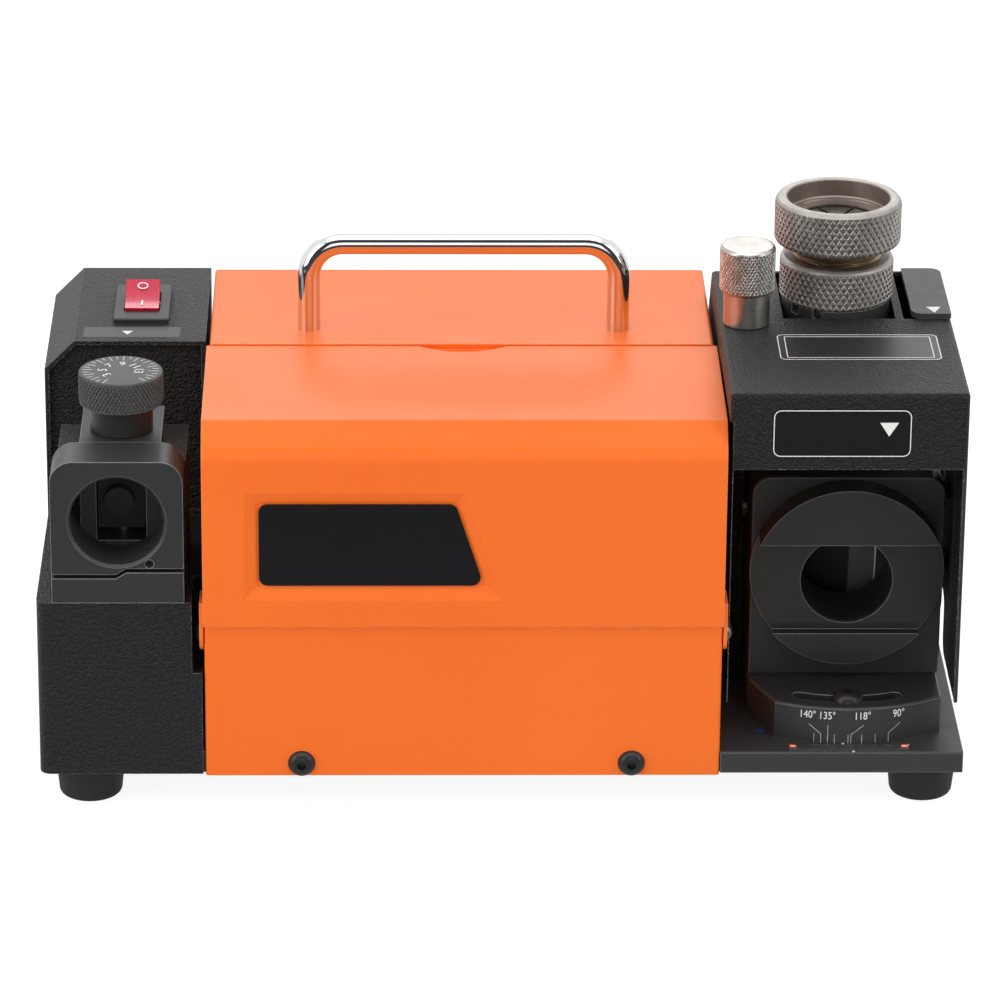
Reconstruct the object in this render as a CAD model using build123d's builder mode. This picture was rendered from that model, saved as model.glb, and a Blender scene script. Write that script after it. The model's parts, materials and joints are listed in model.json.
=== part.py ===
from build123d import *
import os
from math import cos, radians, sin, sqrt

# Drill bit sharpener. Millimetres, +Z up, +X to the operator's right, +Y away from the operator.
# The origin is on the bench under the middle of the machine.

# General clearances and sheet
sheet = 1.5
fit = 0.05
gap = 0.3
hidden_gap = 0.5

# Shares of a button head: its flat, its bulge, the bulge's height and the socket's depth
head_flat = 0.45
head_bulge = 0.84
head_shoulder = 0.6
socket_share = 0.7

# Base plate and feet
body_mid_x = -13.6
lower_half_width = 89.0
unit_seam = 0.8
housing_right_x = body_mid_x - lower_half_width - unit_seam
housing_width = 56.6
housing_left_x = housing_right_x - housing_width
cover_left_x = body_mid_x + lower_half_width + unit_seam
cover_width = 81.1
cover_right_x = cover_left_x + cover_width
plate_lip = 2.7
plate_right_x = cover_right_x + plate_lip
body_front_y = -76.5
plate_back_y = 71.0
foot_height = 14.8
plate_thickness = 8.0
plate_top = foot_height + plate_thickness
foot_top_radius = 12.4
foot_bottom_radius = 10.8
foot_edge = 2.0
foot_left_inset = 16.6
foot_right_inset = 12.7
foot_left_x = housing_left_x + foot_left_inset
foot_right_x = plate_right_x - foot_right_inset
foot_front_y = -58.1
foot_back_y = 54.0
foot_screw_radius = 2.5
foot_screw_head_radius = 4.5
foot_screw_head = 3.0
foot_recess_depth = 8.0
foot_recess_radius = 5.5
plate_edge = 0.5

# Orange body: lower housing, front lid and rear cover
rear_step = 0.7
rear_half_width = lower_half_width - rear_step
lower_bottom_z = 14.2
lower_top_z = 70.3
body_back_y = plate_back_y + sheet
body_top_z = 145.9
body_corner = 1.2
lid_ledge = 6.0
shaft_hole_radius = 12.0
cable_y = 40.0
cable_z = 58.0
cable_hole_radius = 6.0
vent_count = 11
vent_pitch = 11.0
vent_width = 4.0
vent_height = 34.0
vent_z = 104.0

lid_sheet = 1.2
lid_overhang = 0.3
lid_half_width = lower_half_width + lid_overhang
lid_seam = 0.6
lid_front_gap = 0.2
lid_front_y = body_front_y - lid_front_gap - lid_sheet
lid_bottom_z = lower_top_z + lid_seam
lid_bend_z = 134.5
lid_crease_y = -70.0
lid_crease_z = 144.2
lid_rear_y = -3.0
lid_rear_z = 145.4
lid_bend_radius = 8.0
lid_seam_gap = 0.4
notch_radius = 24.0
notch_depth = 5.6
notch_x = -13.4

hinge_y = -70.5
hinge_z = 66.0
ear_thickness = 1.3
ear_radius = 6.0
ear_top_z = 79.0
hinge_shank_radius = 2.0
hinge_head_radius = 3.3
hinge_head = 1.9
hinge_head_gap = 0.1
hinge_relief_radius = 8.4
nut_thickness = 3.2
nut_flats = 7.0

# Recess for the blank plate on the lid
badge_top_z = 120.6
badge_bottom_z = 80.9
badge_left_x = -88.5
badge_right_top_x = -13.0
badge_right_bottom_x = 0.0
badge_depth = 2.2
badge_bevel = 4.6
badge_corner = 3.0
badge_plate_thickness = 0.8

# Carrying handle
handle_radius = 4.0
handle_left_x = -67.2
handle_right_x = 41.5
handle_y = 13.3
handle_bar_z = 177.7
handle_bend = 12.0
handle_screw_radius = 2.5
handle_screw_depth = 14.0
handle_screw_head_radius = 4.5
handle_screw_head = 3.0

# Fasteners of the body
body_screw_left_reach = 55.8
body_screw_right_reach = 58.4
body_screw_left_x = body_mid_x - body_screw_left_reach
body_screw_right_x = body_mid_x + body_screw_right_reach
body_screw_z = foot_height + plate_thickness / 2
body_screw_radius = 2.5
body_screw_length = 13.0
body_screw_head_radius = 4.75
body_screw_head = 2.5
body_screw_socket = 3.0

# Left housing
housing_back_y = 75.9
housing_shelf_z = 79.4
housing_top_z = 145.3
housing_upper_y = 2.9
housing_shoulder = 10.5
housing_corner = 4.0
housing_rim = 1.5
housing_rim_depth = 1.2
ear_pocket_depth = 3.4
ear_pocket_back_y = -53.0
ear_pocket_bottom_z = 53.0

# Rocker switch
switch_inset = 23.3
switch_x = housing_right_x - switch_inset
switch_y = 36.7
bezel_width = 19.6
bezel_length = 35.0
bezel_height = 1.7
bezel_corner = 0.8
bezel_edge = 0.4
switch_body_width = 16.0
switch_body_length = 27.0
switch_body_depth = 22.0
rocker_width = 12.0
rocker_length = 16.8
rocker_well_depth = 10.0
rocker_tilt = 17.0
rocker_dish = 0.8
rocker_rise = 4.1
rocker_pivot_drop = 1.2
rocker_pin_radius = 1.0
rocker_pin_length = 1.6
rocker_clearance = 0.35
rocker_skirt = 5.0
well_length = 19.6

# Mains inlet on the back of the left housing
inlet_x = (housing_left_x + housing_right_x) / 2
inlet_z = 52.0
inlet_flange_width = 34.0
inlet_flange_height = 28.0
inlet_flange = 3.1
inlet_corner = 2.0
inlet_body_width = 27.0
inlet_body_height = 20.0
inlet_body_depth = 20.0
inlet_socket_width = 23.0
inlet_socket_height = 16.0
inlet_socket_depth = 15.0
inlet_pin_width = 2.0
inlet_pin_height = 4.0
inlet_pin_length = 10.0
inlet_pin_pitch = 7.0

# Run capacitor inside the left housing
capacitor_radius = 18.0
capacitor_length = 62.0
capacitor_y = 30.0
capacitor_rim = 2.0

# Setting station on the shelf of the left housing
station_inset = 28.4
station_x = housing_right_x - station_inset
station_width = 45.2
station_front_y = body_front_y
port_block_depth = 18.3
station_top_z = 131.3
station_corner = 8.0
port_bore_radius = 16.1
port_bore_chamfer = 0.8
setting_bore_z = 109.3
joint_low_z = 88.4
joint_high_z = 90.6
joint_step_reach = 0.5
joint_step_x = station_x - joint_step_reach
joint_step_run = 3.4
joint_groove = 1.5
joint_groove_depth = 4.0
bracket_width = 44.1
bracket_shift = 1.0
bracket_mid_x = station_x + bracket_shift
bracket_back_y = -24.5
bracket_top_z = 124.4
carriage_shift = 0.8
carriage_mid_x = station_x + carriage_shift
carriage_width = 27.9
carriage_top_z = station_top_z
carriage_floor_z = 86.0
carriage_roof = 7.0
well_floor_z = 95.0
stop_width = 16.4
stop_depth = 17.0
stop_top_z = 119.0
stop_bottom_z = 98.0
stop_nose_length = 4.0
stop_nose_radius = 5.0
stop_nose_z = 109.3
spindle_y = -44.6
spindle_radius = 4.0
spindle_seat = 6.0
set_screw_reach = 10.9
set_screw_x = station_x + set_screw_reach
set_screw_z = 93.9
set_screw_radius = 1.5
set_screw_length = 9.0
set_screw_sunk = 0.6

# Dial
dial_stem_radius = 10.8
dial_stem_top_z = 141.1
dial_radius = 14.6
dial_top_z = 152.3
dial_chamfer = 0.9

# Swivel unit for the point angle
swivel_inset = 44.3
swivel_x = cover_left_x + swivel_inset
swivel_y = -15.5
swivel_arc_radius = 54.6
swivel_left_reach = 33.9
swivel_right_reach = 32.8
swivel_chamfer_x = 25.4
swivel_chamfer_y = 28.2
swivel_top_z = 36.4
swivel_back_radius = 12.0
swivel_lift = 0.1
swivel_edge = 0.5
pivot_radius = 4.0
slot_radius_from_pivot = 46.2
slot_half_width = 2.6
slot_half_angle = 21.0
clamp_radius = 2.5
clamp_head_radius = 5.4
clamp_head = 3.0
clamp_socket = 3.0
block_half_width = 33.5
block_front_y = -40.0
block_thickness = 24.7
block_top_z = 110.8
block_corner = 6.5
block_edge = 0.4
disc_radius = 33.9
disc_z = 76.2
disc_thickness = 11.0
disc_floor = 1.3
lower_segment = 5.4
upper_chord_z = 89.7
lower_chord_z = 54.0
swivel_bore_z = 72.6
swivel_bore_radius = 16.1
block_screw_radius = 2.0
block_screw_head_radius = 3.5
block_screw_head = 4.0
block_screw_bite = 4.0
upper_screw_x = 16.0
upper_screw_rise = 21.8
lower_screw_x = 12.0
lower_screw_drop = 28.0

# Guard that fills the window of the cover's side panel and swings with the unit
guard_slit = 0.5
guard_bottom_z = 41.8
guard_back_y = -20.0
guard_notch_y = -31.0
guard_notch_z = 62.0
guard_corner = 6.0
guard_foot = 6.0
guard_foot_low_z = 70.0
guard_foot_high_z = 98.0

# Index plate on the base plate
index_width = 41.5
index_depth = 4.2
index_thickness = 0.4
rivet_spacing = 38.9
rivet_radius = 1.65
rivet_head = 0.7
rivet_shank_radius = 0.9
rivet_length = 5.0
index_front = 3.1
rivet_y = -71.6

# Grinding spindle and wheel
spindle_axis_y = 27.0
spindle_axis_z = 73.0
wheel_radius = 37.0
wheel_inset = 27.8
wheel_front_x = cover_left_x + wheel_inset
front_bevel = 19.5
rim_left_x = wheel_front_x + front_bevel
rim_width = 10.0
rim_right_x = rim_left_x + rim_width
back_bevel = 7.5
wheel_right_x = rim_right_x + back_bevel
bevel_small_radius = 25.0
back_bevel_radius = 32.0
wheel_recess_radius = 20.0
wheel_recess_depth = 12.0
shaft_radius = 8.0
shaft_end_radius = 6.0
shaft_clearance = 1.0
flange_radius = 17.0
flange_collar_radius = 11.9
flange_length = 9.0
wheel_nut_height = 8.0
wheel_nut_flats = 18.0
shaft_proud = 2.0

# Motor
motor_left_x = -80.0
motor_right_x = 44.0
motor_radius = 40.0
motor_wall = 3.0
shield_length = 14.0
shield_boss_radius = 18.0
stator_bore_radius = 24.0
rotor_radius = 23.4
rotor_length = 62.0
bearing_outer_radius = 16.0
bearing_inner_radius = 11.0
bearing_width = 9.0
cradle_length = 90.0
cradle_half_width = 34.0
cradle_top_z = 50.0

# Wheel chamber wall behind the swivel unit
frame_left_x = cover_left_x
frame_thickness = 9.0
frame_front_y = -17.0
frame_back_y = 66.0
cover_top_z = 156.3
frame_drop = 10.3
frame_top_z = cover_top_z - frame_drop
frame_rear_inset = 1.5
frame_rear_right_x = cover_right_x - frame_rear_inset
frame_screw_radius = 3.0
frame_screw_depth = 12.0

# Relief port
relief_inset = 42.0
relief_x = cover_left_x + relief_inset
relief_y = 14.9
relief_bore_radius = 16.1
relief_outer_radius = 19.2
relief_proud = 2.1
relief_top_z = cover_top_z + relief_proud
relief_length = 42.4
relief_bottom_z = relief_top_z - relief_length
relief_notch_width = 3.4
relief_notch_depth = 3.0
relief_notch_angles = (-52.0, -23.0, 128.0, 157.0)
arm_thickness = 12.0
arm_drop = 18.4
arm_top_z = relief_top_z - arm_drop
arm_half_width = 24.0
pointer_width = 13.8
pointer_right_x = cover_right_x
pointer_left_x = pointer_right_x - pointer_width
pointer_front_y = -4.6
pointer_back_y = 41.0
pointer_thickness = 2.0
pointer_corner = 4.0

# Wheel cover
cover_front_y = body_front_y
cover_back_y = 43.2
cover_sheet = 1.2
cover_apron_z = 128.6
cover_bend = 1.5
cover_slope_bottom_z = 118.0
cover_rear_flange = 6.0
cutout_gap = 0.5
cutout_finger = 2.7
slot_inset = 11.7
slot_right_x = cover_right_x - slot_inset
slot_front_y = -5.0
panel_bottom_z = 41.5
panel_strip = 25.3
window_back_y = -12.0
window_top_z = 115.0
panel_rear_z = 46.0
panel_corner = 8.0

# Hand knob that clamps the wheel cover
knob_inset = 9.1
knob_x = cover_left_x + knob_inset
knob_y = -8.2
knob_stem_radius = 8.1
knob_stem_height = 12.3
knob_stem_top_z = cover_top_z + knob_stem_height
knob_radius = 9.7
knob_head = 16.7
knob_top_z = knob_stem_top_z + knob_head
knob_chamfer = 0.8
knob_stud_radius = 3.0
knob_stud_depth = 14.0
knob_hole_gap = 0.4
lug_half_width = 6.0
lug_depth = 5.5

# Collet chuck standing in the relief port
chuck_ring_radius = 20.0
chuck_ring_height = 15.0
chuck_ring_top_z = relief_top_z + chuck_ring_height
chuck_sleeve_radius = 16.0
chuck_sleeve_length = 30.0
chuck_neck_radius = 15.6
neck_gap = 5.2
nut_bottom_z = chuck_ring_top_z + neck_gap
nut_height = 16.2
nut_top_z = nut_bottom_z + nut_height
nut_radius = 22.2
nut_rim_bore_radius = 18.0
nut_rim_depth = 4.0
nut_throat_radius = 13.0
nut_shoulder = 4.0
chuck_bore_radius = 13.6
chuck_seat_radius = 11.2
chuck_chamfer = 1.0
collet_gap = 0.35
collet_depth = 10.4
collet_bottom_z = relief_top_z - collet_depth
collet_taper = 5.0
collet_bore_radius = 5.0
collet_slot = 1.0
collet_slits = 6
collet_slit_depth = 26.0

# Storage tray and spare collets
tray_back_y = -20.0
tray_shelf_z = 58.0
tray_sheet = 1.2
tray_gap = 0.6
tray_wall_top_z = 138.0
collet_columns = 5
collet_rows = 2
collet_pitch_x = 30.0
collet_pitch_y = 24.0
collet_mid_y = -46.0
spare_radius = 9.0
spare_head_radius = 10.5
spare_head = 12.0
spare_sunk = 18.0
spare_bore = 3.0
spare_slot = 1.0


def block(x_range, y_range, z_range, mode=Mode.ADD):
    """A box between two limits on each axis."""
    middle = [(low + high) / 2 for low, high in (x_range, y_range, z_range)]
    size = [high - low for low, high in (x_range, y_range, z_range)]
    with Locations(tuple(middle)):
        Box(*size, mode=mode)


def rod(start, direction, radius, length, mode=Mode.ADD):
    """A round bar that starts at a point and runs along a direction."""
    with Locations(Plane(origin=start, z_dir=direction)):
        Cylinder(radius, length, align=(Align.CENTER, Align.CENTER, Align.MIN), mode=mode)


def hex_nut(start, direction, flats, height, bore):
    """A hexagon nut that starts at a point and runs along a direction."""
    with BuildSketch(Plane(origin=start, z_dir=direction), mode=Mode.PRIVATE) as ring:
        RegularPolygon(flats / 2, 6, major_radius=False)
        Circle(bore, mode=Mode.SUBTRACT)
    extrude(ring.sketch, amount=height)


def domed_screw(seat, direction, head_radius, head_height, radius, length, socket):
    """A button-head screw seated at a point, with its shank along a direction."""
    outward = Vector(direction) * -1
    side = Vector(0, 0, 1) if abs(outward.Z) < 0.5 else Vector(1, 0, 0)
    flat_radius = head_radius * head_flat
    with BuildSketch(Plane(origin=seat, x_dir=side, z_dir=side.cross(outward)), mode=Mode.PRIVATE) as half:
        with BuildLine():
            Line((0, 0), (head_radius, 0))
            ThreePointArc(
                (head_radius, 0),
                (head_radius * head_bulge, head_height * head_shoulder),
                (flat_radius, head_height),
            )
            Polyline((flat_radius, head_height), (0, head_height), (0, 0))
        make_face()
    revolve(half.sketch, axis=Axis(seat, outward))
    rod(seat, direction, radius, length)
    crown = Vector(seat) + outward * head_height
    with BuildSketch(Plane(origin=crown, z_dir=outward), mode=Mode.PRIVATE) as hexagon:
        RegularPolygon(socket / 2, 6, major_radius=False)
    extrude(hexagon.sketch, amount=-head_height * socket_share, mode=Mode.SUBTRACT)


def save(part, name):
    """Labels a finished piece and writes it to its own file."""
    part.label = name
    export_step(part, f"parts/{name}.step")


os.makedirs("parts", exist_ok=True)

# Places shared by several pieces
disc_screw_places = [
    (-upper_screw_x, upper_screw_rise),
    (upper_screw_x, upper_screw_rise),
    (-lower_screw_x, -lower_screw_drop),
    (lower_screw_x, -lower_screw_drop),
]
lower_left_x = body_mid_x - lower_half_width
lower_right_x = body_mid_x + lower_half_width
plate_left_x = housing_left_x + sheet + gap
hinge_sides = (-1, 1)
body_screw_xs = (body_screw_left_x, body_screw_right_x)
foot_places = [(x, y) for x in (foot_left_x, foot_right_x) for y in (foot_front_y, foot_back_y)]
handle_xs = (handle_left_x, handle_right_x)
clamp_y = swivel_y - slot_radius_from_pivot
frame_right_x = frame_left_x + frame_thickness
frame_screw_x = frame_left_x + frame_thickness / 2
frame_screw_ys = (frame_front_y + 3 * frame_screw_radius, frame_back_y - 3 * frame_screw_radius)
rivet_xs = (swivel_x - rivet_spacing / 2, swivel_x + rivet_spacing / 2)
axis_start = (0, spindle_axis_y, spindle_axis_z)

# Base plate: its front steps back behind the sheet of the housings
with BuildPart() as base_plate:
    block((plate_left_x, plate_right_x), (body_front_y + sheet, plate_back_y), (foot_height, plate_top))
    block(
        (lower_right_x + gap, plate_right_x),
        (body_front_y, body_front_y + sheet),
        (foot_height, plate_top),
    )
    chamfer(edges().filter_by(Axis.X).group_by(Axis.Y)[0], plate_edge)
    front_left_edge = edges().filter_by(Axis.Z).sort_by(lambda edge: edge.center().X + edge.center().Y)[0]
    fillet(front_left_edge, housing_corner)
    for x, y in foot_places:
        rod((x, y, foot_height), (0, 0, 1), foot_screw_radius + fit, plate_thickness, Mode.SUBTRACT)
    for x in body_screw_xs:
        for y, way in ((body_front_y + sheet, 1), (plate_back_y, -1)):
            rod((x, y, body_screw_z), (0, way, 0), body_screw_radius + fit, body_screw_length, Mode.SUBTRACT)
    rod((swivel_x, swivel_y, foot_height), (0, 0, 1), pivot_radius + fit, plate_thickness, Mode.SUBTRACT)
    rod((swivel_x, clamp_y, foot_height), (0, 0, 1), clamp_radius + fit, plate_thickness, Mode.SUBTRACT)
    for y in frame_screw_ys:
        rod((frame_screw_x, y, foot_height), (0, 0, 1), frame_screw_radius + fit, plate_thickness,
            Mode.SUBTRACT)
    for x in rivet_xs:
        rod((x, rivet_y, foot_height), (0, 0, 1), rivet_shank_radius + fit, plate_thickness, Mode.SUBTRACT)
save(base_plate.part, "base_plate")

# Rubber feet, each with a recess for its screw
with BuildPart() as rubber_feet:
    for x, y in foot_places:
        with BuildSketch(Plane.XZ.offset(-y)):
            with BuildLine():
                Polyline(
                    (x, 0),
                    (x + foot_bottom_radius, 0),
                    (x + foot_top_radius, foot_height),
                    (x, foot_height),
                    close=True,
                )
            make_face()
            fillet(vertices().group_by(Axis.Y)[0].sort_by(Axis.X)[-1], foot_edge)
        revolve(axis=Axis((x, y, 0), (0, 0, 1)))
        rod((x, y, 0), (0, 0, 1), foot_recess_radius, foot_recess_depth, Mode.SUBTRACT)
        rod((x, y, 0), (0, 0, 1), foot_screw_radius + fit, foot_height, Mode.SUBTRACT)
save(rubber_feet.part, "rubber_feet")

with BuildPart() as foot_screws:
    for x, y in foot_places:
        domed_screw(
            (x, y, foot_recess_depth),
            (0, 0, 1),
            foot_screw_head_radius,
            foot_screw_head,
            foot_screw_radius,
            foot_height - foot_recess_depth + plate_thickness - hidden_gap,
            foot_screw_radius,
        )
save(foot_screws.part, "foot_screws")

# Lower housing: front wall over the plate's edge, side walls standing on the plate
with BuildPart() as lower_housing:
    block((lower_left_x, lower_right_x), (body_front_y, plate_back_y), (lower_bottom_z, lower_top_z))
    fillet(edges().filter_by(Axis.Z).group_by(Axis.Y)[0], body_corner)
    block(
        (lower_left_x + sheet, lower_right_x - sheet),
        (body_front_y + sheet, plate_back_y),
        (lower_bottom_z, lower_top_z),
        Mode.SUBTRACT,
    )
    block(
        (lower_left_x, lower_right_x),
        (body_front_y + sheet, plate_back_y),
        (lower_bottom_z, plate_top),
        Mode.SUBTRACT,
    )
    for x in body_screw_xs:
        rod((x, body_front_y, body_screw_z), (0, 1, 0), body_screw_radius + fit, sheet, Mode.SUBTRACT)
    rod(
        (lower_left_x, hinge_y, hinge_z), (1, 0, 0), hinge_shank_radius + fit, 2 * lower_half_width,
        Mode.SUBTRACT,
    )
    rod((lower_right_x - sheet, *axis_start[1:]), (1, 0, 0), shaft_hole_radius, sheet, Mode.SUBTRACT)
    rod((lower_left_x, cable_y, cable_z), (1, 0, 0), cable_hole_radius, sheet, Mode.SUBTRACT)
save(lower_housing.part, "lower_housing")

with BuildPart() as housing_screws:
    for x in body_screw_xs:
        domed_screw(
            (x, body_front_y, body_screw_z),
            (0, 1, 0),
            body_screw_head_radius,
            body_screw_head,
            body_screw_radius,
            body_screw_length,
            body_screw_socket,
        )
save(housing_screws.part, "housing_screws")

# Rear cover: top, sides and a back wall that reaches down over the plate's edge
rear_left_x = body_mid_x - rear_half_width
rear_right_x = body_mid_x + rear_half_width
rear_front_y = lid_rear_y + lid_seam_gap
rear_bottom_z = lower_top_z + gap
with BuildPart() as rear_cover:
    block((rear_left_x, rear_right_x), (rear_front_y, body_back_y), (rear_bottom_z, body_top_z))
    fillet(edges().filter_by(Axis.Y).group_by(Axis.Z)[-1], body_corner)
    block(
        (rear_left_x + sheet, rear_right_x - sheet),
        (rear_front_y, plate_back_y),
        (rear_bottom_z, body_top_z - sheet),
        Mode.SUBTRACT,
    )
    block((rear_left_x, rear_right_x), (plate_back_y, body_back_y), (lower_bottom_z, rear_bottom_z))
    block(
        (rear_left_x + 2 * sheet, rear_right_x - 2 * sheet),
        (rear_front_y, rear_front_y + sheet),
        (lid_rear_z - lid_sheet - gap - sheet, body_top_z - sheet),
    )
    block(
        (rear_left_x + 2 * sheet, rear_right_x - 2 * sheet),
        (rear_front_y - lid_ledge, rear_front_y),
        (lid_rear_z - lid_sheet - gap - sheet, lid_rear_z - lid_sheet - gap),
    )
    for x in handle_xs:
        rod((x, handle_y, body_top_z - sheet), (0, 0, 1), handle_screw_radius + fit, sheet, Mode.SUBTRACT)
    for x in body_screw_xs:
        rod((x, plate_back_y, body_screw_z), (0, 1, 0), body_screw_radius + fit, sheet, Mode.SUBTRACT)
    rod((rear_right_x - sheet, *axis_start[1:]), (1, 0, 0), shaft_hole_radius, sheet, Mode.SUBTRACT)
    with BuildSketch(Plane.XZ.offset(-body_back_y)):
        with Locations((body_mid_x, vent_z)):
            with GridLocations(vent_pitch, 0, vent_count, 1):
                SlotOverall(vent_height, vent_width, rotation=90)
    extrude(amount=-sheet, mode=Mode.SUBTRACT)
save(rear_cover.part, "rear_cover")

with BuildPart() as rear_cover_screws:
    for x in body_screw_xs:
        domed_screw(
            (x, body_back_y, body_screw_z),
            (0, -1, 0),
            body_screw_head_radius,
            body_screw_head,
            body_screw_radius,
            body_screw_length,
            body_screw_socket,
        )
save(rear_cover_screws.part, "rear_cover_screws")

# Front lid: a folded shell, open below and behind, that turns on two ears
lid_left_x = body_mid_x - lid_half_width


def badge_outline(inset):
    """The four-sided recess on the lid, drawn in by an inset."""
    Polygon(
        (badge_left_x, badge_bottom_z),
        (badge_right_bottom_x, badge_bottom_z),
        (badge_right_top_x, badge_top_z),
        (badge_left_x, badge_top_z),
        align=None,
    )
    if inset:
        offset(amount=-inset, kind=Kind.INTERSECTION, mode=Mode.REPLACE)


with BuildPart() as front_lid:
    with BuildSketch(Plane.YZ.offset(lid_left_x)) as lid_profile:
        Polygon(
            (lid_front_y, lid_bottom_z),
            (lid_rear_y, lid_bottom_z),
            (lid_rear_y, lid_rear_z),
            (lid_crease_y, lid_crease_z),
            (lid_front_y, lid_bend_z),
            align=None,
        )
        fillet(vertices().sort_by(Axis.X)[:2].sort_by(Axis.Y)[-1], lid_bend_radius)
    extrude(amount=2 * lid_half_width)
    lid_openings = [faces().sort_by(Axis.Z)[0], faces().sort_by(Axis.Y)[-1]]
    offset(amount=-lid_sheet, openings=lid_openings)
    for side in hinge_sides:
        rod(
            (body_mid_x + side * (lid_half_width - lid_sheet), hinge_y, hinge_z),
            (side, 0, 0),
            hinge_relief_radius,
            lid_sheet,
            Mode.SUBTRACT,
        )
    for side in hinge_sides:
        start_x = body_mid_x + side * lid_half_width
        end_x = start_x + side * ear_thickness
        block(
            (min(start_x, end_x), max(start_x, end_x)),
            (hinge_y - ear_radius, hinge_y + ear_radius),
            (hinge_z, ear_top_z),
        )
        rod((start_x, hinge_y, hinge_z), (side, 0, 0), ear_radius, ear_thickness)
    rod(
        (lid_left_x - ear_thickness, hinge_y, hinge_z),
        (1, 0, 0),
        hinge_shank_radius + fit,
        2 * (lid_half_width + ear_thickness),
        Mode.SUBTRACT,
    )
    with BuildSketch(Plane.XZ.offset(-lid_front_y - lid_sheet / 2)):
        badge_outline(-lid_sheet)
    with BuildSketch(Plane.XZ.offset(-lid_front_y - badge_depth - lid_sheet)):
        badge_outline(badge_bevel - lid_sheet / 2)
    loft()
    with BuildSketch(Plane.XZ.offset(-lid_front_y)):
        badge_outline(0)
    with BuildSketch(Plane.XZ.offset(-lid_front_y - badge_depth)):
        badge_outline(badge_bevel)
    loft(mode=Mode.SUBTRACT)
    rod(
        (notch_x, lid_rear_y + notch_radius - notch_depth, lid_rear_z - 3 * lid_sheet),
        (0, 0, 1),
        notch_radius,
        4 * lid_sheet,
        Mode.SUBTRACT,
    )
save(front_lid.part, "front_lid")

with BuildPart() as badge_plate:
    with BuildSketch(Plane.XZ.offset(-lid_front_y - badge_depth)):
        badge_outline(badge_bevel + gap)
        fillet(vertices(), badge_corner)
    extrude(amount=badge_plate_thickness)
save(badge_plate.part, "badge_plate")

# Hinge screws of the lid, from outside through the ears, with their nuts inside
hinge_seat = lid_half_width + ear_thickness + hinge_head_gap
hinge_inner = lower_half_width - sheet
with BuildPart() as lid_hinge_screws:
    for side in hinge_sides:
        domed_screw(
            (body_mid_x + side * hinge_seat, hinge_y, hinge_z),
            (-side, 0, 0),
            hinge_head_radius,
            hinge_head,
            hinge_shank_radius,
            hinge_seat - hinge_inner + nut_thickness + hidden_gap,
            hinge_shank_radius,
        )
save(lid_hinge_screws.part, "lid_hinge_screws")

with BuildPart() as lid_hinge_nuts:
    for side in hinge_sides:
        hex_nut(
            (body_mid_x + side * hinge_inner, hinge_y, hinge_z),
            (-side, 0, 0),
            nut_flats,
            nut_thickness,
            hinge_shank_radius + fit,
        )
save(lid_hinge_nuts.part, "lid_hinge_nuts")

# Carrying handle: a bent bar standing on the rear cover
with BuildPart() as carry_handle:
    with BuildLine(Plane.XZ.offset(-handle_y)):
        FilletPolyline(
            (handle_left_x, body_top_z),
            (handle_left_x, handle_bar_z),
            (handle_right_x, handle_bar_z),
            (handle_right_x, body_top_z),
            radius=handle_bend,
        )
    with BuildSketch(Plane.XY.offset(body_top_z)):
        with Locations((handle_left_x, handle_y)):
            Circle(handle_radius)
    sweep()
    for x in handle_xs:
        rod((x, handle_y, body_top_z), (0, 0, 1), handle_screw_radius + fit, handle_screw_depth,
            Mode.SUBTRACT)
save(carry_handle.part, "carry_handle")

with BuildPart() as handle_screws:
    for x in handle_xs:
        domed_screw(
            (x, handle_y, body_top_z - sheet),
            (0, 0, 1),
            handle_screw_head_radius,
            handle_screw_head,
            handle_screw_radius,
            sheet + handle_screw_depth - hidden_gap,
            handle_screw_radius,
        )
save(handle_screws.part, "handle_screws")

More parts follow.
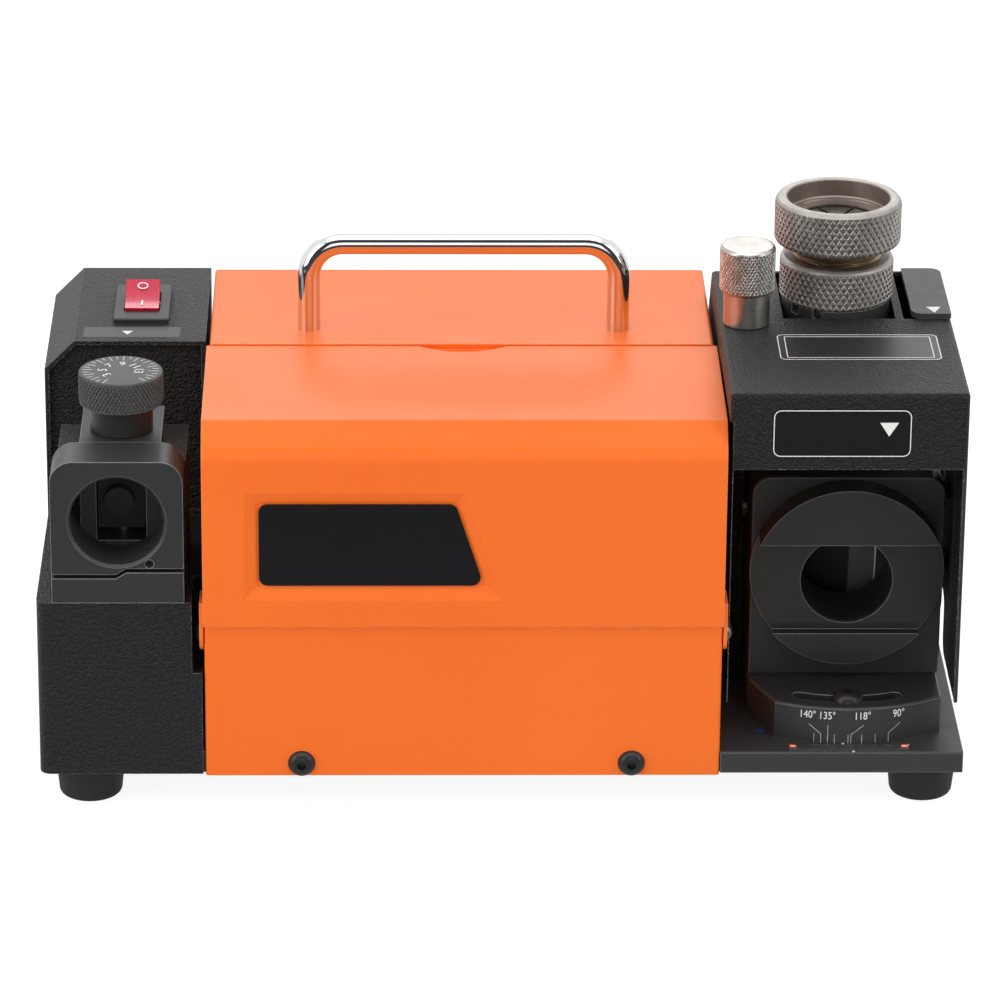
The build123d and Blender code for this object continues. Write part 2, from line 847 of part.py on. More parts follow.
# Left housing: a stepped shell with a shelf in front for the setting station
housing_right_inner_x = housing_right_x - sheet
bezel_top_z = housing_top_z + bezel_height
rim_points = [
    (housing_left_x, housing_shelf_z),
    (housing_right_x, housing_shelf_z),
    (housing_right_x, housing_top_z),
    (housing_left_x, housing_top_z),
]
with BuildPart() as left_housing:
    with BuildSketch(Plane.YZ.offset(housing_left_x)):
        Polygon(
            (body_front_y, foot_height),
            (housing_back_y, foot_height),
            (housing_back_y, housing_top_z),
            (housing_upper_y, housing_top_z),
            (housing_upper_y, housing_shelf_z),
            (body_front_y, housing_shelf_z),
            align=None,
        )
    extrude(amount=housing_right_x - housing_left_x)
    shoulder = edges().filter_by(Axis.Y).group_by(Axis.Z)[-1].sort_by(Axis.X)[0]
    chamfer(shoulder, housing_shoulder)
    fillet(edges().filter_by(Axis.Z).group_by(Axis.X)[0].sort_by(Axis.Y)[0], housing_corner)
    offset(amount=-sheet, openings=faces().sort_by(Axis.Z)[0])
    with BuildSketch(Plane.XZ.offset(-housing_upper_y)):
        Polygon(*rim_points, align=None)
        chamfer(vertices().sort_by(Axis.X)[:2].sort_by(Axis.Y)[-1], housing_shoulder)
        offset(amount=-housing_rim, kind=Kind.INTERSECTION, mode=Mode.SUBTRACT)
    extrude(amount=housing_rim_depth)
    block(
        (housing_right_inner_x, housing_right_x),
        (body_front_y + sheet, housing_back_y - sheet),
        (foot_height, plate_top),
        Mode.SUBTRACT,
    )
    block(
        (housing_right_x - ear_pocket_depth - sheet, housing_right_x),
        (body_front_y, ear_pocket_back_y + sheet),
        (ear_pocket_bottom_z - sheet, housing_shelf_z),
    )
    block(
        (housing_right_x - ear_pocket_depth, housing_right_x),
        (body_front_y, ear_pocket_back_y),
        (ear_pocket_bottom_z, housing_shelf_z),
        Mode.SUBTRACT,
    )
    block(
        (switch_x - switch_body_width / 2 - fit, switch_x + switch_body_width / 2 + fit),
        (switch_y - switch_body_length / 2 - fit, switch_y + switch_body_length / 2 + fit),
        (housing_top_z - sheet, housing_top_z),
        Mode.SUBTRACT,
    )
    block(
        (inlet_x - inlet_body_width / 2 - fit, inlet_x + inlet_body_width / 2 + fit),
        (housing_back_y - sheet, housing_back_y),
        (inlet_z - inlet_body_height / 2 - fit, inlet_z + inlet_body_height / 2 + fit),
        Mode.SUBTRACT,
    )
    rod((housing_right_inner_x, cable_y, cable_z), (1, 0, 0), cable_hole_radius, sheet, Mode.SUBTRACT)
save(left_housing.part, "left_housing")

# Rocker switch: a flanged body and a dished rocker on two pins
pivot_z = bezel_top_z - rocker_pivot_drop
with BuildPart() as switch_body:
    block(
        (switch_x - bezel_width / 2, switch_x + bezel_width / 2),
        (switch_y - bezel_length / 2, switch_y + bezel_length / 2),
        (housing_top_z, bezel_top_z),
    )
    fillet(edges().filter_by(Axis.Z), bezel_corner)
    chamfer(faces().sort_by(Axis.Z)[-1].edges(), bezel_edge)
    block(
        (switch_x - switch_body_width / 2, switch_x + switch_body_width / 2),
        (switch_y - switch_body_length / 2, switch_y + switch_body_length / 2),
        (housing_top_z - switch_body_depth, housing_top_z),
    )
    block(
        (switch_x - rocker_width / 2 - rocker_clearance, switch_x + rocker_width / 2 + rocker_clearance),
        (switch_y - well_length / 2, switch_y + well_length / 2),
        (bezel_top_z - rocker_well_depth, bezel_top_z),
        Mode.SUBTRACT,
    )
    rod(
        (switch_x - rocker_width / 2 - rocker_pin_length, switch_y, pivot_z),
        (1, 0, 0),
        rocker_pin_radius + fit,
        rocker_width + 2 * rocker_pin_length,
        Mode.SUBTRACT,
    )
save(switch_body.part, "switch_body")

tilt = radians(rocker_tilt)
rocker_plane = Plane(
    origin=(switch_x - rocker_width / 2, switch_y, pivot_z),
    x_dir=(0, cos(tilt), sin(tilt)),
    z_dir=(1, 0, 0),
)
with BuildPart() as switch_rocker:
    with BuildSketch(rocker_plane):
        with BuildLine():
            Polyline(
                (-rocker_length / 2, -rocker_skirt / 2),
                (-rocker_length / 2, rocker_rise + rocker_dish),
            )
            ThreePointArc(
                (-rocker_length / 2, rocker_rise + rocker_dish),
                (0, rocker_rise),
                (rocker_length / 2, rocker_rise + rocker_dish),
            )
            Line(
                (rocker_length / 2, rocker_rise + rocker_dish),
                (rocker_length / 2, -rocker_skirt / 2),
            )
            ThreePointArc(
                (rocker_length / 2, -rocker_skirt / 2),
                (0, -rocker_skirt),
                (-rocker_length / 2, -rocker_skirt / 2),
            )
        make_face()
    extrude(amount=rocker_width)
    rod(
        (switch_x - rocker_width / 2 - rocker_pin_length + gap, switch_y, pivot_z),
        (1, 0, 0),
        rocker_pin_radius,
        rocker_width + 2 * (rocker_pin_length - gap),
    )
save(switch_rocker.part, "switch_rocker")

# Mains inlet with three pins, in the back of the left housing
inlet_face_y = housing_back_y + inlet_flange
with BuildPart() as power_inlet:
    block(
        (inlet_x - inlet_flange_width / 2, inlet_x + inlet_flange_width / 2),
        (housing_back_y, inlet_face_y),
        (inlet_z - inlet_flange_height / 2, inlet_z + inlet_flange_height / 2),
    )
    fillet(edges().filter_by(Axis.Y), inlet_corner)
    block(
        (inlet_x - inlet_body_width / 2, inlet_x + inlet_body_width / 2),
        (housing_back_y - inlet_body_depth, housing_back_y),
        (inlet_z - inlet_body_height / 2, inlet_z + inlet_body_height / 2),
    )
    block(
        (inlet_x - inlet_socket_width / 2, inlet_x + inlet_socket_width / 2),
        (inlet_face_y - inlet_socket_depth, inlet_face_y),
        (inlet_z - inlet_socket_height / 2, inlet_z + inlet_socket_height / 2),
        Mode.SUBTRACT,
    )
    for place in (-1, 0, 1):
        pin_x = inlet_x + place * inlet_pin_pitch
        pin_z = inlet_z + (inlet_pin_height / 2 if place == 0 else -inlet_pin_height / 2)
        block(
            (pin_x - inlet_pin_width / 2, pin_x + inlet_pin_width / 2),
            (inlet_face_y - inlet_socket_depth, inlet_face_y - inlet_socket_depth + inlet_pin_length),
            (pin_z - inlet_pin_height / 2, pin_z + inlet_pin_height / 2),
        )
save(power_inlet.part, "power_inlet")

with BuildPart() as run_capacitor:
    rod((inlet_x, capacitor_y, plate_top), (0, 0, 1), capacitor_radius, capacitor_length)
    fillet(edges().group_by(Axis.Z)[-1], capacitor_rim)
    for place in (-1, 1):
        tab_x = inlet_x + place * capacitor_radius / 2
        block(
            (tab_x - capacitor_rim, tab_x + capacitor_rim),
            (capacitor_y - hidden_gap, capacitor_y + hidden_gap),
            (plate_top + capacitor_length, plate_top + capacitor_length + 4 * capacitor_rim),
        )
save(run_capacitor.part, "run_capacitor")

# Setting station: base and port block meet at a stepped joint with a groove in front
station_left_x = station_x - station_width / 2
station_right_x = station_x + station_width / 2
station_back_y = station_front_y + port_block_depth
joint_points = [
    (station_left_x, joint_low_z),
    (joint_step_x, joint_low_z),
    (joint_step_x + joint_step_run, joint_high_z),
    (station_right_x, joint_high_z),
]
with BuildPart() as setting_port_base:
    with BuildSketch(Plane.XZ.offset(-station_front_y)):
        Polygon(
            (station_left_x, housing_shelf_z),
            *joint_points,
            (station_right_x, housing_shelf_z),
            align=None,
        )
    extrude(amount=-port_block_depth)
save(setting_port_base.part, "setting_port_base")

with BuildPart() as setting_port_block:
    with BuildSketch(Plane.XZ.offset(-station_front_y)):
        Polygon(
            *joint_points,
            (station_right_x, station_top_z),
            (station_left_x, station_top_z),
            align=None,
        )
        fillet(vertices().group_by(Axis.Y)[-1], station_corner)
    extrude(amount=-port_block_depth)
    with BuildSketch(Plane.XZ.offset(-station_front_y)):
        Polygon(
            *joint_points,
            *[(x, z + joint_groove) for x, z in reversed(joint_points)],
            align=None,
        )
    extrude(amount=-joint_groove_depth, mode=Mode.SUBTRACT)
    rod(
        (station_x, station_front_y, setting_bore_z), (0, 1, 0), port_bore_radius, port_block_depth,
        Mode.SUBTRACT,
    )
    bore_edge = edges().filter_by(GeomType.CIRCLE).group_by(Axis.Y)[0].sort_by(SortBy.RADIUS)[-1]
    chamfer(bore_edge, port_bore_chamfer)
    rod(
        (set_screw_x, station_front_y, set_screw_z), (0, 1, 0), set_screw_radius + fit, set_screw_length,
        Mode.SUBTRACT,
    )
save(setting_port_block.part, "setting_port_block")

with BuildPart() as setting_set_screw:
    rod(
        (set_screw_x, station_front_y + set_screw_sunk, set_screw_z),
        (0, 1, 0),
        set_screw_radius,
        set_screw_length - set_screw_sunk,
    )
    with BuildSketch(Plane.XZ.offset(-station_front_y - set_screw_sunk)):
        with Locations((set_screw_x, set_screw_z)):
            RegularPolygon(set_screw_radius / 2, 6)
    extrude(amount=-set_screw_radius, mode=Mode.SUBTRACT)
save(setting_set_screw.part, "setting_set_screw")

# Bracket with two side rails, and the carriage that stands between them
carriage_left_x = carriage_mid_x - carriage_width / 2
carriage_right_x = carriage_mid_x + carriage_width / 2
well_roof_z = carriage_top_z - carriage_roof
stop_front_y = station_back_y + gap + stop_nose_length
with BuildPart() as setting_bracket:
    block(
        (bracket_mid_x - bracket_width / 2, bracket_mid_x + bracket_width / 2),
        (station_back_y, bracket_back_y),
        (housing_shelf_z, bracket_top_z),
    )
    block(
        (carriage_left_x, carriage_right_x),
        (station_back_y, bracket_back_y),
        (carriage_floor_z, bracket_top_z),
        Mode.SUBTRACT,
    )
save(setting_bracket.part, "setting_bracket")

with BuildPart() as setting_carriage:
    block(
        (carriage_left_x, carriage_right_x),
        (station_back_y, bracket_back_y),
        (carriage_floor_z, carriage_top_z),
    )
    block(
        (carriage_mid_x - stop_width / 2 - gap, carriage_mid_x + stop_width / 2 + gap),
        (station_back_y, stop_front_y + stop_depth + gap),
        (well_floor_z, well_roof_z),
        Mode.SUBTRACT,
    )
    rod((carriage_mid_x, spindle_y, carriage_floor_z), (0, 0, 1), spindle_radius + fit, carriage_top_z,
        Mode.SUBTRACT)
save(setting_carriage.part, "setting_carriage")

# Drill stop: rides on the dial's spindle, with its nose just behind the port's bore
with BuildPart() as setting_stop:
    block(
        (carriage_mid_x - stop_width / 2, carriage_mid_x + stop_width / 2),
        (stop_front_y, stop_front_y + stop_depth),
        (stop_bottom_z, stop_top_z),
    )
    rod((station_x, stop_front_y, stop_nose_z), (0, -1, 0), stop_nose_radius, stop_nose_length)
    rod(
        (carriage_mid_x, spindle_y, stop_bottom_z),
        (0, 0, 1),
        spindle_radius + fit,
        stop_top_z - stop_bottom_z,
        Mode.SUBTRACT,
    )
save(setting_stop.part, "setting_stop")

with BuildPart() as dial_spindle:
    rod(
        (carriage_mid_x, spindle_y, carriage_floor_z + hidden_gap),
        (0, 0, 1),
        spindle_radius,
        carriage_top_z - carriage_floor_z - hidden_gap + spindle_seat,
    )
save(dial_spindle.part, "dial_spindle")

with BuildPart() as dial_knob:
    rod(
        (carriage_mid_x, spindle_y, carriage_top_z + fit), (0, 0, 1), dial_stem_radius,
        dial_stem_top_z - carriage_top_z - fit,
    )
    rod((carriage_mid_x, spindle_y, dial_stem_top_z), (0, 0, 1), dial_radius, dial_top_z - dial_stem_top_z)
    chamfer(edges().filter_by(GeomType.CIRCLE).group_by(Axis.Z)[-1], dial_chamfer)
    rod((carriage_mid_x, spindle_y, carriage_top_z), (0, 0, 1), spindle_radius + fit, spindle_seat + fit,
        Mode.SUBTRACT)
save(dial_knob.part, "dial_knob")

# Swivel unit: a sector that turns about a pin under the wheel, with the port upright on it
swivel_bottom_z = plate_top + swivel_lift
arc_left_y = swivel_y - sqrt(swivel_arc_radius**2 - swivel_chamfer_x**2)
arc_right_y = swivel_y - sqrt(swivel_arc_radius**2 - swivel_right_reach**2)
slot_path = CenterArc(
    (swivel_x, swivel_y), slot_radius_from_pivot, 270 - slot_half_angle, 2 * slot_half_angle
)
with BuildPart() as swivel_base:
    with BuildSketch(Plane.XY.offset(swivel_bottom_z)):
        with BuildLine():
            Polyline(
                (swivel_x + swivel_right_reach, arc_right_y),
                (swivel_x + swivel_right_reach, swivel_y),
                (swivel_x - swivel_left_reach, swivel_y),
                (swivel_x - swivel_left_reach, swivel_y - swivel_chamfer_y),
                (swivel_x - swivel_chamfer_x, arc_left_y),
            )
            ThreePointArc(
                (swivel_x - swivel_chamfer_x, arc_left_y),
                (swivel_x, swivel_y - swivel_arc_radius),
                (swivel_x + swivel_right_reach, arc_right_y),
            )
        make_face()
    extrude(amount=swivel_top_z - swivel_bottom_z)
    rod(
        (swivel_x, swivel_y, swivel_bottom_z), (0, 0, 1), swivel_back_radius, swivel_top_z - swivel_bottom_z
    )
    chamfer(faces().sort_by(Axis.Z)[-1].edges(), swivel_edge)
    rod((swivel_x, swivel_y, swivel_bottom_z), (0, 0, 1), pivot_radius + fit, swivel_top_z - swivel_bottom_z,
        Mode.SUBTRACT)
    with BuildSketch(Plane.XY.offset(swivel_bottom_z)):
        SlotArc(slot_path, 2 * slot_half_width)
    extrude(amount=swivel_top_z - swivel_bottom_z, mode=Mode.SUBTRACT)
save(swivel_base.part, "swivel_base")

block_back_y = block_front_y + block_thickness
with BuildPart() as swivel_block:
    with BuildSketch(Plane.XZ.offset(-block_front_y)):
        Polygon(
            (swivel_x - block_half_width, swivel_top_z),
            (swivel_x + block_half_width, swivel_top_z),
            (swivel_x + block_half_width, block_top_z),
            (swivel_x - block_half_width, block_top_z),
            align=None,
        )
        fillet(vertices().group_by(Axis.Y)[-1], block_corner)
    extrude(amount=-block_thickness)
    chamfer(faces().sort_by(Axis.Y)[0].edges(), block_edge)
    rod((swivel_x, block_front_y, swivel_bore_z), (0, 1, 0), swivel_bore_radius, block_thickness,
        Mode.SUBTRACT)
    for x, z in disc_screw_places:
        rod((swivel_x + x, block_front_y, disc_z + z), (0, 1, 0), block_screw_radius + fit, block_thickness,
            Mode.SUBTRACT)
        rod((swivel_x + x, block_back_y, disc_z + z), (0, -1, 0), block_screw_head_radius + fit,
            block_screw_head, Mode.SUBTRACT)
save(swivel_block.part, "swivel_block")

disc_front_y = block_front_y - disc_thickness
with BuildPart() as port_disc:
    rod((swivel_x, disc_front_y, disc_z), (0, 1, 0), disc_radius, disc_thickness)
    block(
        (swivel_x - disc_radius, swivel_x + disc_radius),
        (disc_front_y, block_front_y - disc_floor),
        (lower_chord_z, upper_chord_z),
        Mode.SUBTRACT,
    )
    block(
        (swivel_x - disc_radius, swivel_x + disc_radius),
        (disc_front_y, block_front_y - lower_segment),
        (disc_z - disc_radius, lower_chord_z),
        Mode.SUBTRACT,
    )
    rod((swivel_x, disc_front_y, swivel_bore_z), (0, 1, 0), swivel_bore_radius, disc_thickness, Mode.SUBTRACT)
    for x, z in disc_screw_places:
        rod((swivel_x + x, block_front_y, disc_z + z), (0, -1, 0), block_screw_radius + fit, block_screw_bite,
            Mode.SUBTRACT)
save(port_disc.part, "port_disc")

with BuildPart() as port_disc_screws:
    for x, z in disc_screw_places:
        rod((swivel_x + x, block_back_y, disc_z + z), (0, -1, 0), block_screw_head_radius, block_screw_head)
        rod(
            (swivel_x + x, block_back_y, disc_z + z),
            (0, -1, 0),
            block_screw_radius,
            block_thickness + block_screw_bite - hidden_gap,
        )
save(port_disc_screws.part, "port_disc_screws")

with BuildPart() as swivel_pivot_pin:
    rod(
        (swivel_x, swivel_y, foot_height + hidden_gap), (0, 0, 1), pivot_radius,
        swivel_top_z - foot_height - 2 * hidden_gap,
    )
save(swivel_pivot_pin.part, "swivel_pivot_pin")

with BuildPart() as swivel_clamp_screw:
    domed_screw(
        (swivel_x, clamp_y, swivel_top_z + swivel_lift),
        (0, 0, -1),
        clamp_head_radius,
        clamp_head,
        clamp_radius,
        swivel_top_z + swivel_lift - foot_height - hidden_gap,
        clamp_socket,
    )
save(swivel_clamp_screw.part, "swivel_clamp_screw")

with BuildPart() as index_plate:
    block(
        (swivel_x - index_width / 2, swivel_x + index_width / 2),
        (rivet_y - index_front, rivet_y - index_front + index_depth),
        (plate_top, plate_top + index_thickness),
    )
    for x in rivet_xs:
        rod((x, rivet_y, plate_top), (0, 0, 1), rivet_shank_radius + fit, index_thickness, Mode.SUBTRACT)
save(index_plate.part, "index_plate")

with BuildPart() as index_rivets:
    for x in rivet_xs:
        rod((x, rivet_y, plate_top + index_thickness), (0, 0, 1), rivet_radius, rivet_head)
    chamfer(edges().filter_by(GeomType.CIRCLE).group_by(Axis.Z)[-1], rivet_head / 2)
    for x in rivet_xs:
        rod((x, rivet_y, plate_top + index_thickness), (0, 0, -1), rivet_shank_radius, rivet_length)
save(index_rivets.part, "index_rivets")

# Grinding spindle: bevelled wheel, flange and nut on the motor shaft
spindle_plane = Plane(origin=axis_start, x_dir=(1, 0, 0), z_dir=(0, 0, 1))
spindle_line = Axis(axis_start, (1, 0, 0))
recess_floor_x = wheel_right_x - wheel_recess_depth
with BuildPart() as grinding_wheel:
    with BuildSketch(spindle_plane):
        Polygon(
            (wheel_front_x, shaft_end_radius + fit),
            (wheel_front_x, bevel_small_radius),
            (rim_left_x, wheel_radius),
            (rim_right_x, wheel_radius),
            (wheel_right_x, back_bevel_radius),
            (wheel_right_x, wheel_recess_radius),
            (recess_floor_x, wheel_recess_radius),
            (recess_floor_x, shaft_end_radius + fit),
            align=None,
        )
    revolve(axis=spindle_line)
save(grinding_wheel.part, "grinding_wheel")

with BuildPart() as wheel_flange:
    with BuildSketch(spindle_plane):
        Polygon(
            (wheel_front_x - flange_length, shaft_end_radius + fit),
            (wheel_front_x - flange_length, flange_collar_radius),
            (wheel_front_x - flange_length / 2, flange_radius),
            (wheel_front_x, flange_radius),
            (wheel_front_x, shaft_end_radius + fit),
            align=None,
        )
    revolve(axis=spindle_line)
save(wheel_flange.part, "wheel_flange")

with BuildPart() as wheel_nut:
    hex_nut(
        (recess_floor_x, *axis_start[1:]), (1, 0, 0), wheel_nut_flats, wheel_nut_height,
        shaft_end_radius + fit,
    )
save(wheel_nut.part, "wheel_nut")

motor_mid_x = (motor_left_x + motor_right_x) / 2
left_race_x = motor_left_x + shield_length - bearing_width
right_race_x = motor_right_x - shield_length
shaft_step_x = wheel_front_x - flange_length
with BuildPart() as motor_shaft:
    rod((left_race_x, *axis_start[1:]), (1, 0, 0), shaft_radius, shaft_step_x - left_race_x)
    rod(
        (shaft_step_x, *axis_start[1:]),
        (1, 0, 0),
        shaft_end_radius,
        recess_floor_x + wheel_nut_height + shaft_proud - shaft_step_x,
    )
save(motor_shaft.part, "motor_shaft")

with BuildPart() as motor_rotor:
    rod((motor_mid_x - rotor_length / 2, *axis_start[1:]), (1, 0, 0), rotor_radius, rotor_length)
    rod((motor_mid_x - rotor_length / 2, *axis_start[1:]), (1, 0, 0), shaft_radius + fit, rotor_length,
        Mode.SUBTRACT)
save(motor_rotor.part, "motor_rotor")

# Motor: stator in a round shell between two end shields, lying in a cradle
shell_start_x = motor_left_x + shield_length
shell_end_x = motor_right_x - shield_length
with BuildPart() as motor_stator:
    with BuildSketch(spindle_plane):
        Polygon(
            (shell_start_x, motor_radius),
            (shell_end_x, motor_radius),
            (shell_end_x, motor_radius - motor_wall),
            (motor_mid_x + rotor_length / 2, motor_radius - motor_wall),
            (motor_mid_x + rotor_length / 2, stator_bore_radius),
            (motor_mid_x - rotor_length / 2, stator_bore_radius),
            (motor_mid_x - rotor_length / 2, motor_radius - motor_wall),
            (shell_start_x, motor_radius - motor_wall),
            align=None,
        )
    revolve(axis=spindle_line)
save(motor_stator.part, "motor_stator")

for name, outer_x, way in (
    ("motor_shield_left", motor_left_x, 1),
    ("motor_shield_right", motor_right_x, -1),
):
    inner_x = outer_x + way * shield_length
    floor_x = outer_x + way * (shield_length - bearing_width)
    with BuildPart() as shield:
        with BuildSketch(spindle_plane):
            Polygon(
                (outer_x, shaft_radius + shaft_clearance),
                (outer_x, motor_radius),
                (inner_x, motor_radius),
                (inner_x, motor_radius - 2 * motor_wall),
                (floor_x, motor_radius - 2 * motor_wall),
                (floor_x, shield_boss_radius),
                (inner_x, shield_boss_radius),
                (inner_x, bearing_outer_radius + fit),
                (floor_x, bearing_outer_radius + fit),
                (floor_x, shaft_radius + shaft_clearance),
                align=None,
            )
        revolve(axis=spindle_line)
    save(shield.part, name)

with BuildPart() as bearing_outer_races:
    for x in (left_race_x, right_race_x):
        rod((x, *axis_start[1:]), (1, 0, 0), bearing_outer_radius, bearing_width)
    for x in (left_race_x, right_race_x):
        rod((x, *axis_start[1:]), (1, 0, 0), bearing_inner_radius + gap, bearing_width, Mode.SUBTRACT)
save(bearing_outer_races.part, "bearing_outer_races")

with BuildPart() as bearing_inner_races:
    for x in (left_race_x, right_race_x):
        rod((x, *axis_start[1:]), (1, 0, 0), bearing_inner_radius, bearing_width)
    for x in (left_race_x, right_race_x):
        rod((x, *axis_start[1:]), (1, 0, 0), shaft_radius + fit, bearing_width, Mode.SUBTRACT)
save(bearing_inner_races.part, "bearing_inner_races")

with BuildPart() as motor_cradle:
    block(
        (motor_mid_x - cradle_length / 2, motor_mid_x + cradle_length / 2),
        (spindle_axis_y - cradle_half_width, spindle_axis_y + cradle_half_width),
        (plate_top, cradle_top_z),
    )
    rod(
        (motor_mid_x - cradle_length / 2, *axis_start[1:]), (1, 0, 0), motor_radius + fit, cradle_length,
        Mode.SUBTRACT,
    )
save(motor_cradle.part, "motor_cradle")

# Wheel chamber walls with a lug for the cover's hand knob, under the slope of the cover
lug_front_y = knob_y - lug_half_width
cover_rear_y = plate_back_y + gap + cover_sheet
cover_flange = cover_top_z - frame_top_z
cover_slope = (cover_top_z - cover_slope_bottom_z) / (cover_rear_y - cover_back_y)
rear_wall_top_z = cover_slope_bottom_z - 2 * cover_sheet


def slope_z(y):
    """The height of the cover's sloping rear face at a distance from the front."""
    return cover_top_z - (y - cover_back_y) * cover_slope


with BuildPart() as wheel_frame:
    with BuildSketch(Plane.YZ.offset(frame_left_x)):
        Polygon(
            (frame_front_y, plate_top),
            (plate_back_y, plate_top),
            (plate_back_y, slope_z(plate_back_y) - cover_flange),
            (cover_back_y, frame_top_z),
            (frame_front_y, frame_top_z),
            align=None,
        )
    extrude(amount=frame_thickness)
    block(
        (frame_left_x + cover_sheet + gap, frame_rear_right_x),
        (frame_back_y, plate_back_y),
        (plate_top, rear_wall_top_z),
    )
    block(
        (frame_left_x + cover_sheet + gap, knob_x + lug_half_width),
        (lug_front_y, knob_y + lug_half_width),
        (frame_top_z - lug_depth, cover_top_z - cover_sheet),
    )
    rod((frame_left_x, *axis_start[1:]), (1, 0, 0), shaft_hole_radius, frame_thickness, Mode.SUBTRACT)
    rod((knob_x, knob_y, cover_top_z), (0, 0, -1), knob_stud_radius + fit, knob_stud_depth, Mode.SUBTRACT)
    for y in frame_screw_ys:
        rod((frame_screw_x, y, plate_top), (0, 0, 1), frame_screw_radius + fit, frame_screw_depth,
            Mode.SUBTRACT)
save(wheel_frame.part, "wheel_frame")

with BuildPart() as frame_screws:
    for y in frame_screw_ys:
        rod(
            (frame_screw_x, y, foot_height),
            (0, 0, 1),
            frame_screw_radius,
            plate_thickness + frame_screw_depth - hidden_gap,
        )
    with BuildSketch(Plane.XY.offset(foot_height)):
        with Locations(*[(frame_screw_x, y) for y in frame_screw_ys]):
            RegularPolygon(frame_screw_radius / 2, 6)
    extrude(amount=frame_screw_radius, mode=Mode.SUBTRACT)
save(frame_screws.part, "frame_screws")

# Relief port: an upright barrel held over the wheel by an arm from the chamber wall
with BuildPart() as relief_barrel:
    rod((relief_x, relief_y, relief_bottom_z), (0, 0, 1), relief_outer_radius, relief_top_z - relief_bottom_z)
    rod((relief_x, relief_y, relief_bottom_z), (0, 0, 1), relief_bore_radius, relief_top_z - relief_bottom_z,
        Mode.SUBTRACT)
    for angle in relief_notch_angles:
        notch_plane = Plane(
            origin=(relief_x, relief_y, relief_top_z - relief_notch_depth / 2),
            x_dir=(sin(radians(angle)), -cos(radians(angle)), 0),
            z_dir=(0, 0, 1),
        )
        with Locations(notch_plane):
            Box(
                relief_outer_radius,
                relief_notch_width,
                relief_notch_depth,
                align=(Align.MIN, Align.CENTER, Align.CENTER),
                mode=Mode.SUBTRACT,
            )
save(relief_barrel.part, "relief_barrel")

arm_bottom_z = arm_top_z - arm_thickness
with BuildPart() as relief_bracket:
    block((frame_right_x, relief_x), (relief_y - arm_half_width, relief_y + arm_half_width),
          (arm_bottom_z, arm_top_z))
    rod((relief_x, relief_y, arm_bottom_z), (0, 0, 1), arm_half_width, arm_thickness)
    rod((relief_x, relief_y, arm_bottom_z), (0, 0, 1), relief_outer_radius + fit, arm_thickness,
        Mode.SUBTRACT)
save(relief_bracket.part, "relief_bracket")

with BuildPart() as relief_pointer_plate:
    block(
        (pointer_left_x, pointer_right_x),
        (pointer_front_y, pointer_back_y),
        (cover_top_z, cover_top_z + pointer_thickness),
    )
    pointer_corners = edges().filter_by(Axis.Z)
    front_left = pointer_corners.sort_by(lambda edge: edge.center().X + edge.center().Y)[0]
    back_right = pointer_corners.sort_by(lambda edge: edge.center().X + edge.center().Y)[-1]
    fillet([front_left, back_right], pointer_corner)
save(relief_pointer_plate.part, "relief_pointer_plate")

# Wheel cover: a folded sheet with an apron in front and a cut-away panel on the right
cutout_left_x = relief_x - relief_outer_radius - cutout_gap
cutout_right_x = relief_x + relief_outer_radius + cutout_gap
cutout_front_y = relief_y - relief_outer_radius - cutout_gap
panel_left_x = cover_right_x - cover_sheet
window_front_y = cover_front_y + panel_strip
with BuildPart() as wheel_cover:
    with BuildSketch(Plane.YZ.offset(cover_left_x)):
        Polygon(
            (cover_front_y, panel_bottom_z),
            (cover_rear_y, panel_bottom_z),
            (cover_rear_y, cover_slope_bottom_z),
            (cover_back_y, cover_top_z),
            (cover_front_y, cover_top_z),
            align=None,
        )
    extrude(amount=cover_right_x - cover_left_x)
    fillet(edges().filter_by(Axis.Y).group_by(Axis.Z)[-1], cover_bend)
    fillet(edges().filter_by(Axis.X).group_by(Axis.Z)[-1].sort_by(Axis.Y)[0], cover_bend)
    offset(amount=-cover_sheet, openings=faces().sort_by(Axis.Z)[0])
    block((cover_left_x, panel_left_x), (cover_front_y, cover_front_y + cover_sheet),
          (panel_bottom_z, cover_apron_z), Mode.SUBTRACT)
    with BuildSketch(Plane.YZ.offset(cover_left_x)):
        Polygon(
            (cover_front_y, panel_bottom_z),
            (cover_rear_y, panel_bottom_z),
            (cover_rear_y, slope_z(cover_rear_y) - cover_flange),
            (cover_back_y, frame_top_z),
            (cover_front_y, frame_top_z),
            align=None,
        )
    extrude(amount=cover_sheet, mode=Mode.SUBTRACT)
    block((cover_left_x, panel_left_x), (plate_back_y, cover_rear_y),
          (panel_bottom_z, cover_slope_bottom_z - cover_rear_flange), Mode.SUBTRACT)
    with BuildSketch(Plane.XY.offset(panel_bottom_z)):
        Polygon(
            (panel_left_x, window_front_y),
            (cover_right_x, window_front_y + cover_sheet),
            (cover_right_x, window_back_y),
            (panel_left_x, window_back_y),
            align=None,
        )
    extrude(amount=window_top_z - panel_bottom_z, mode=Mode.SUBTRACT)
    block((panel_left_x, cover_right_x), (window_back_y, cover_rear_y), (panel_bottom_z, panel_rear_z),
          Mode.SUBTRACT)
    panel_corners = edges().filter_by(Axis.X).filter_by(
        lambda edge: abs(edge.center().Z - panel_rear_z) < fit and edge.center().X > panel_left_x
    )
    fillet(panel_corners, panel_corner)
    block((cutout_left_x, cutout_right_x), (cutout_front_y, cover_back_y - cover_sheet),
          (cover_top_z - cover_sheet, cover_top_z), Mode.SUBTRACT)
    block((cutout_right_x + cutout_finger, slot_right_x), (slot_front_y, cover_back_y - cover_sheet),
          (cover_top_z - cover_sheet, cover_top_z), Mode.SUBTRACT)
    rod((knob_x, knob_y, cover_top_z), (0, 0, -1), knob_stud_radius + knob_hole_gap, cover_sheet,
        Mode.SUBTRACT)
save(wheel_cover.part, "wheel_cover")

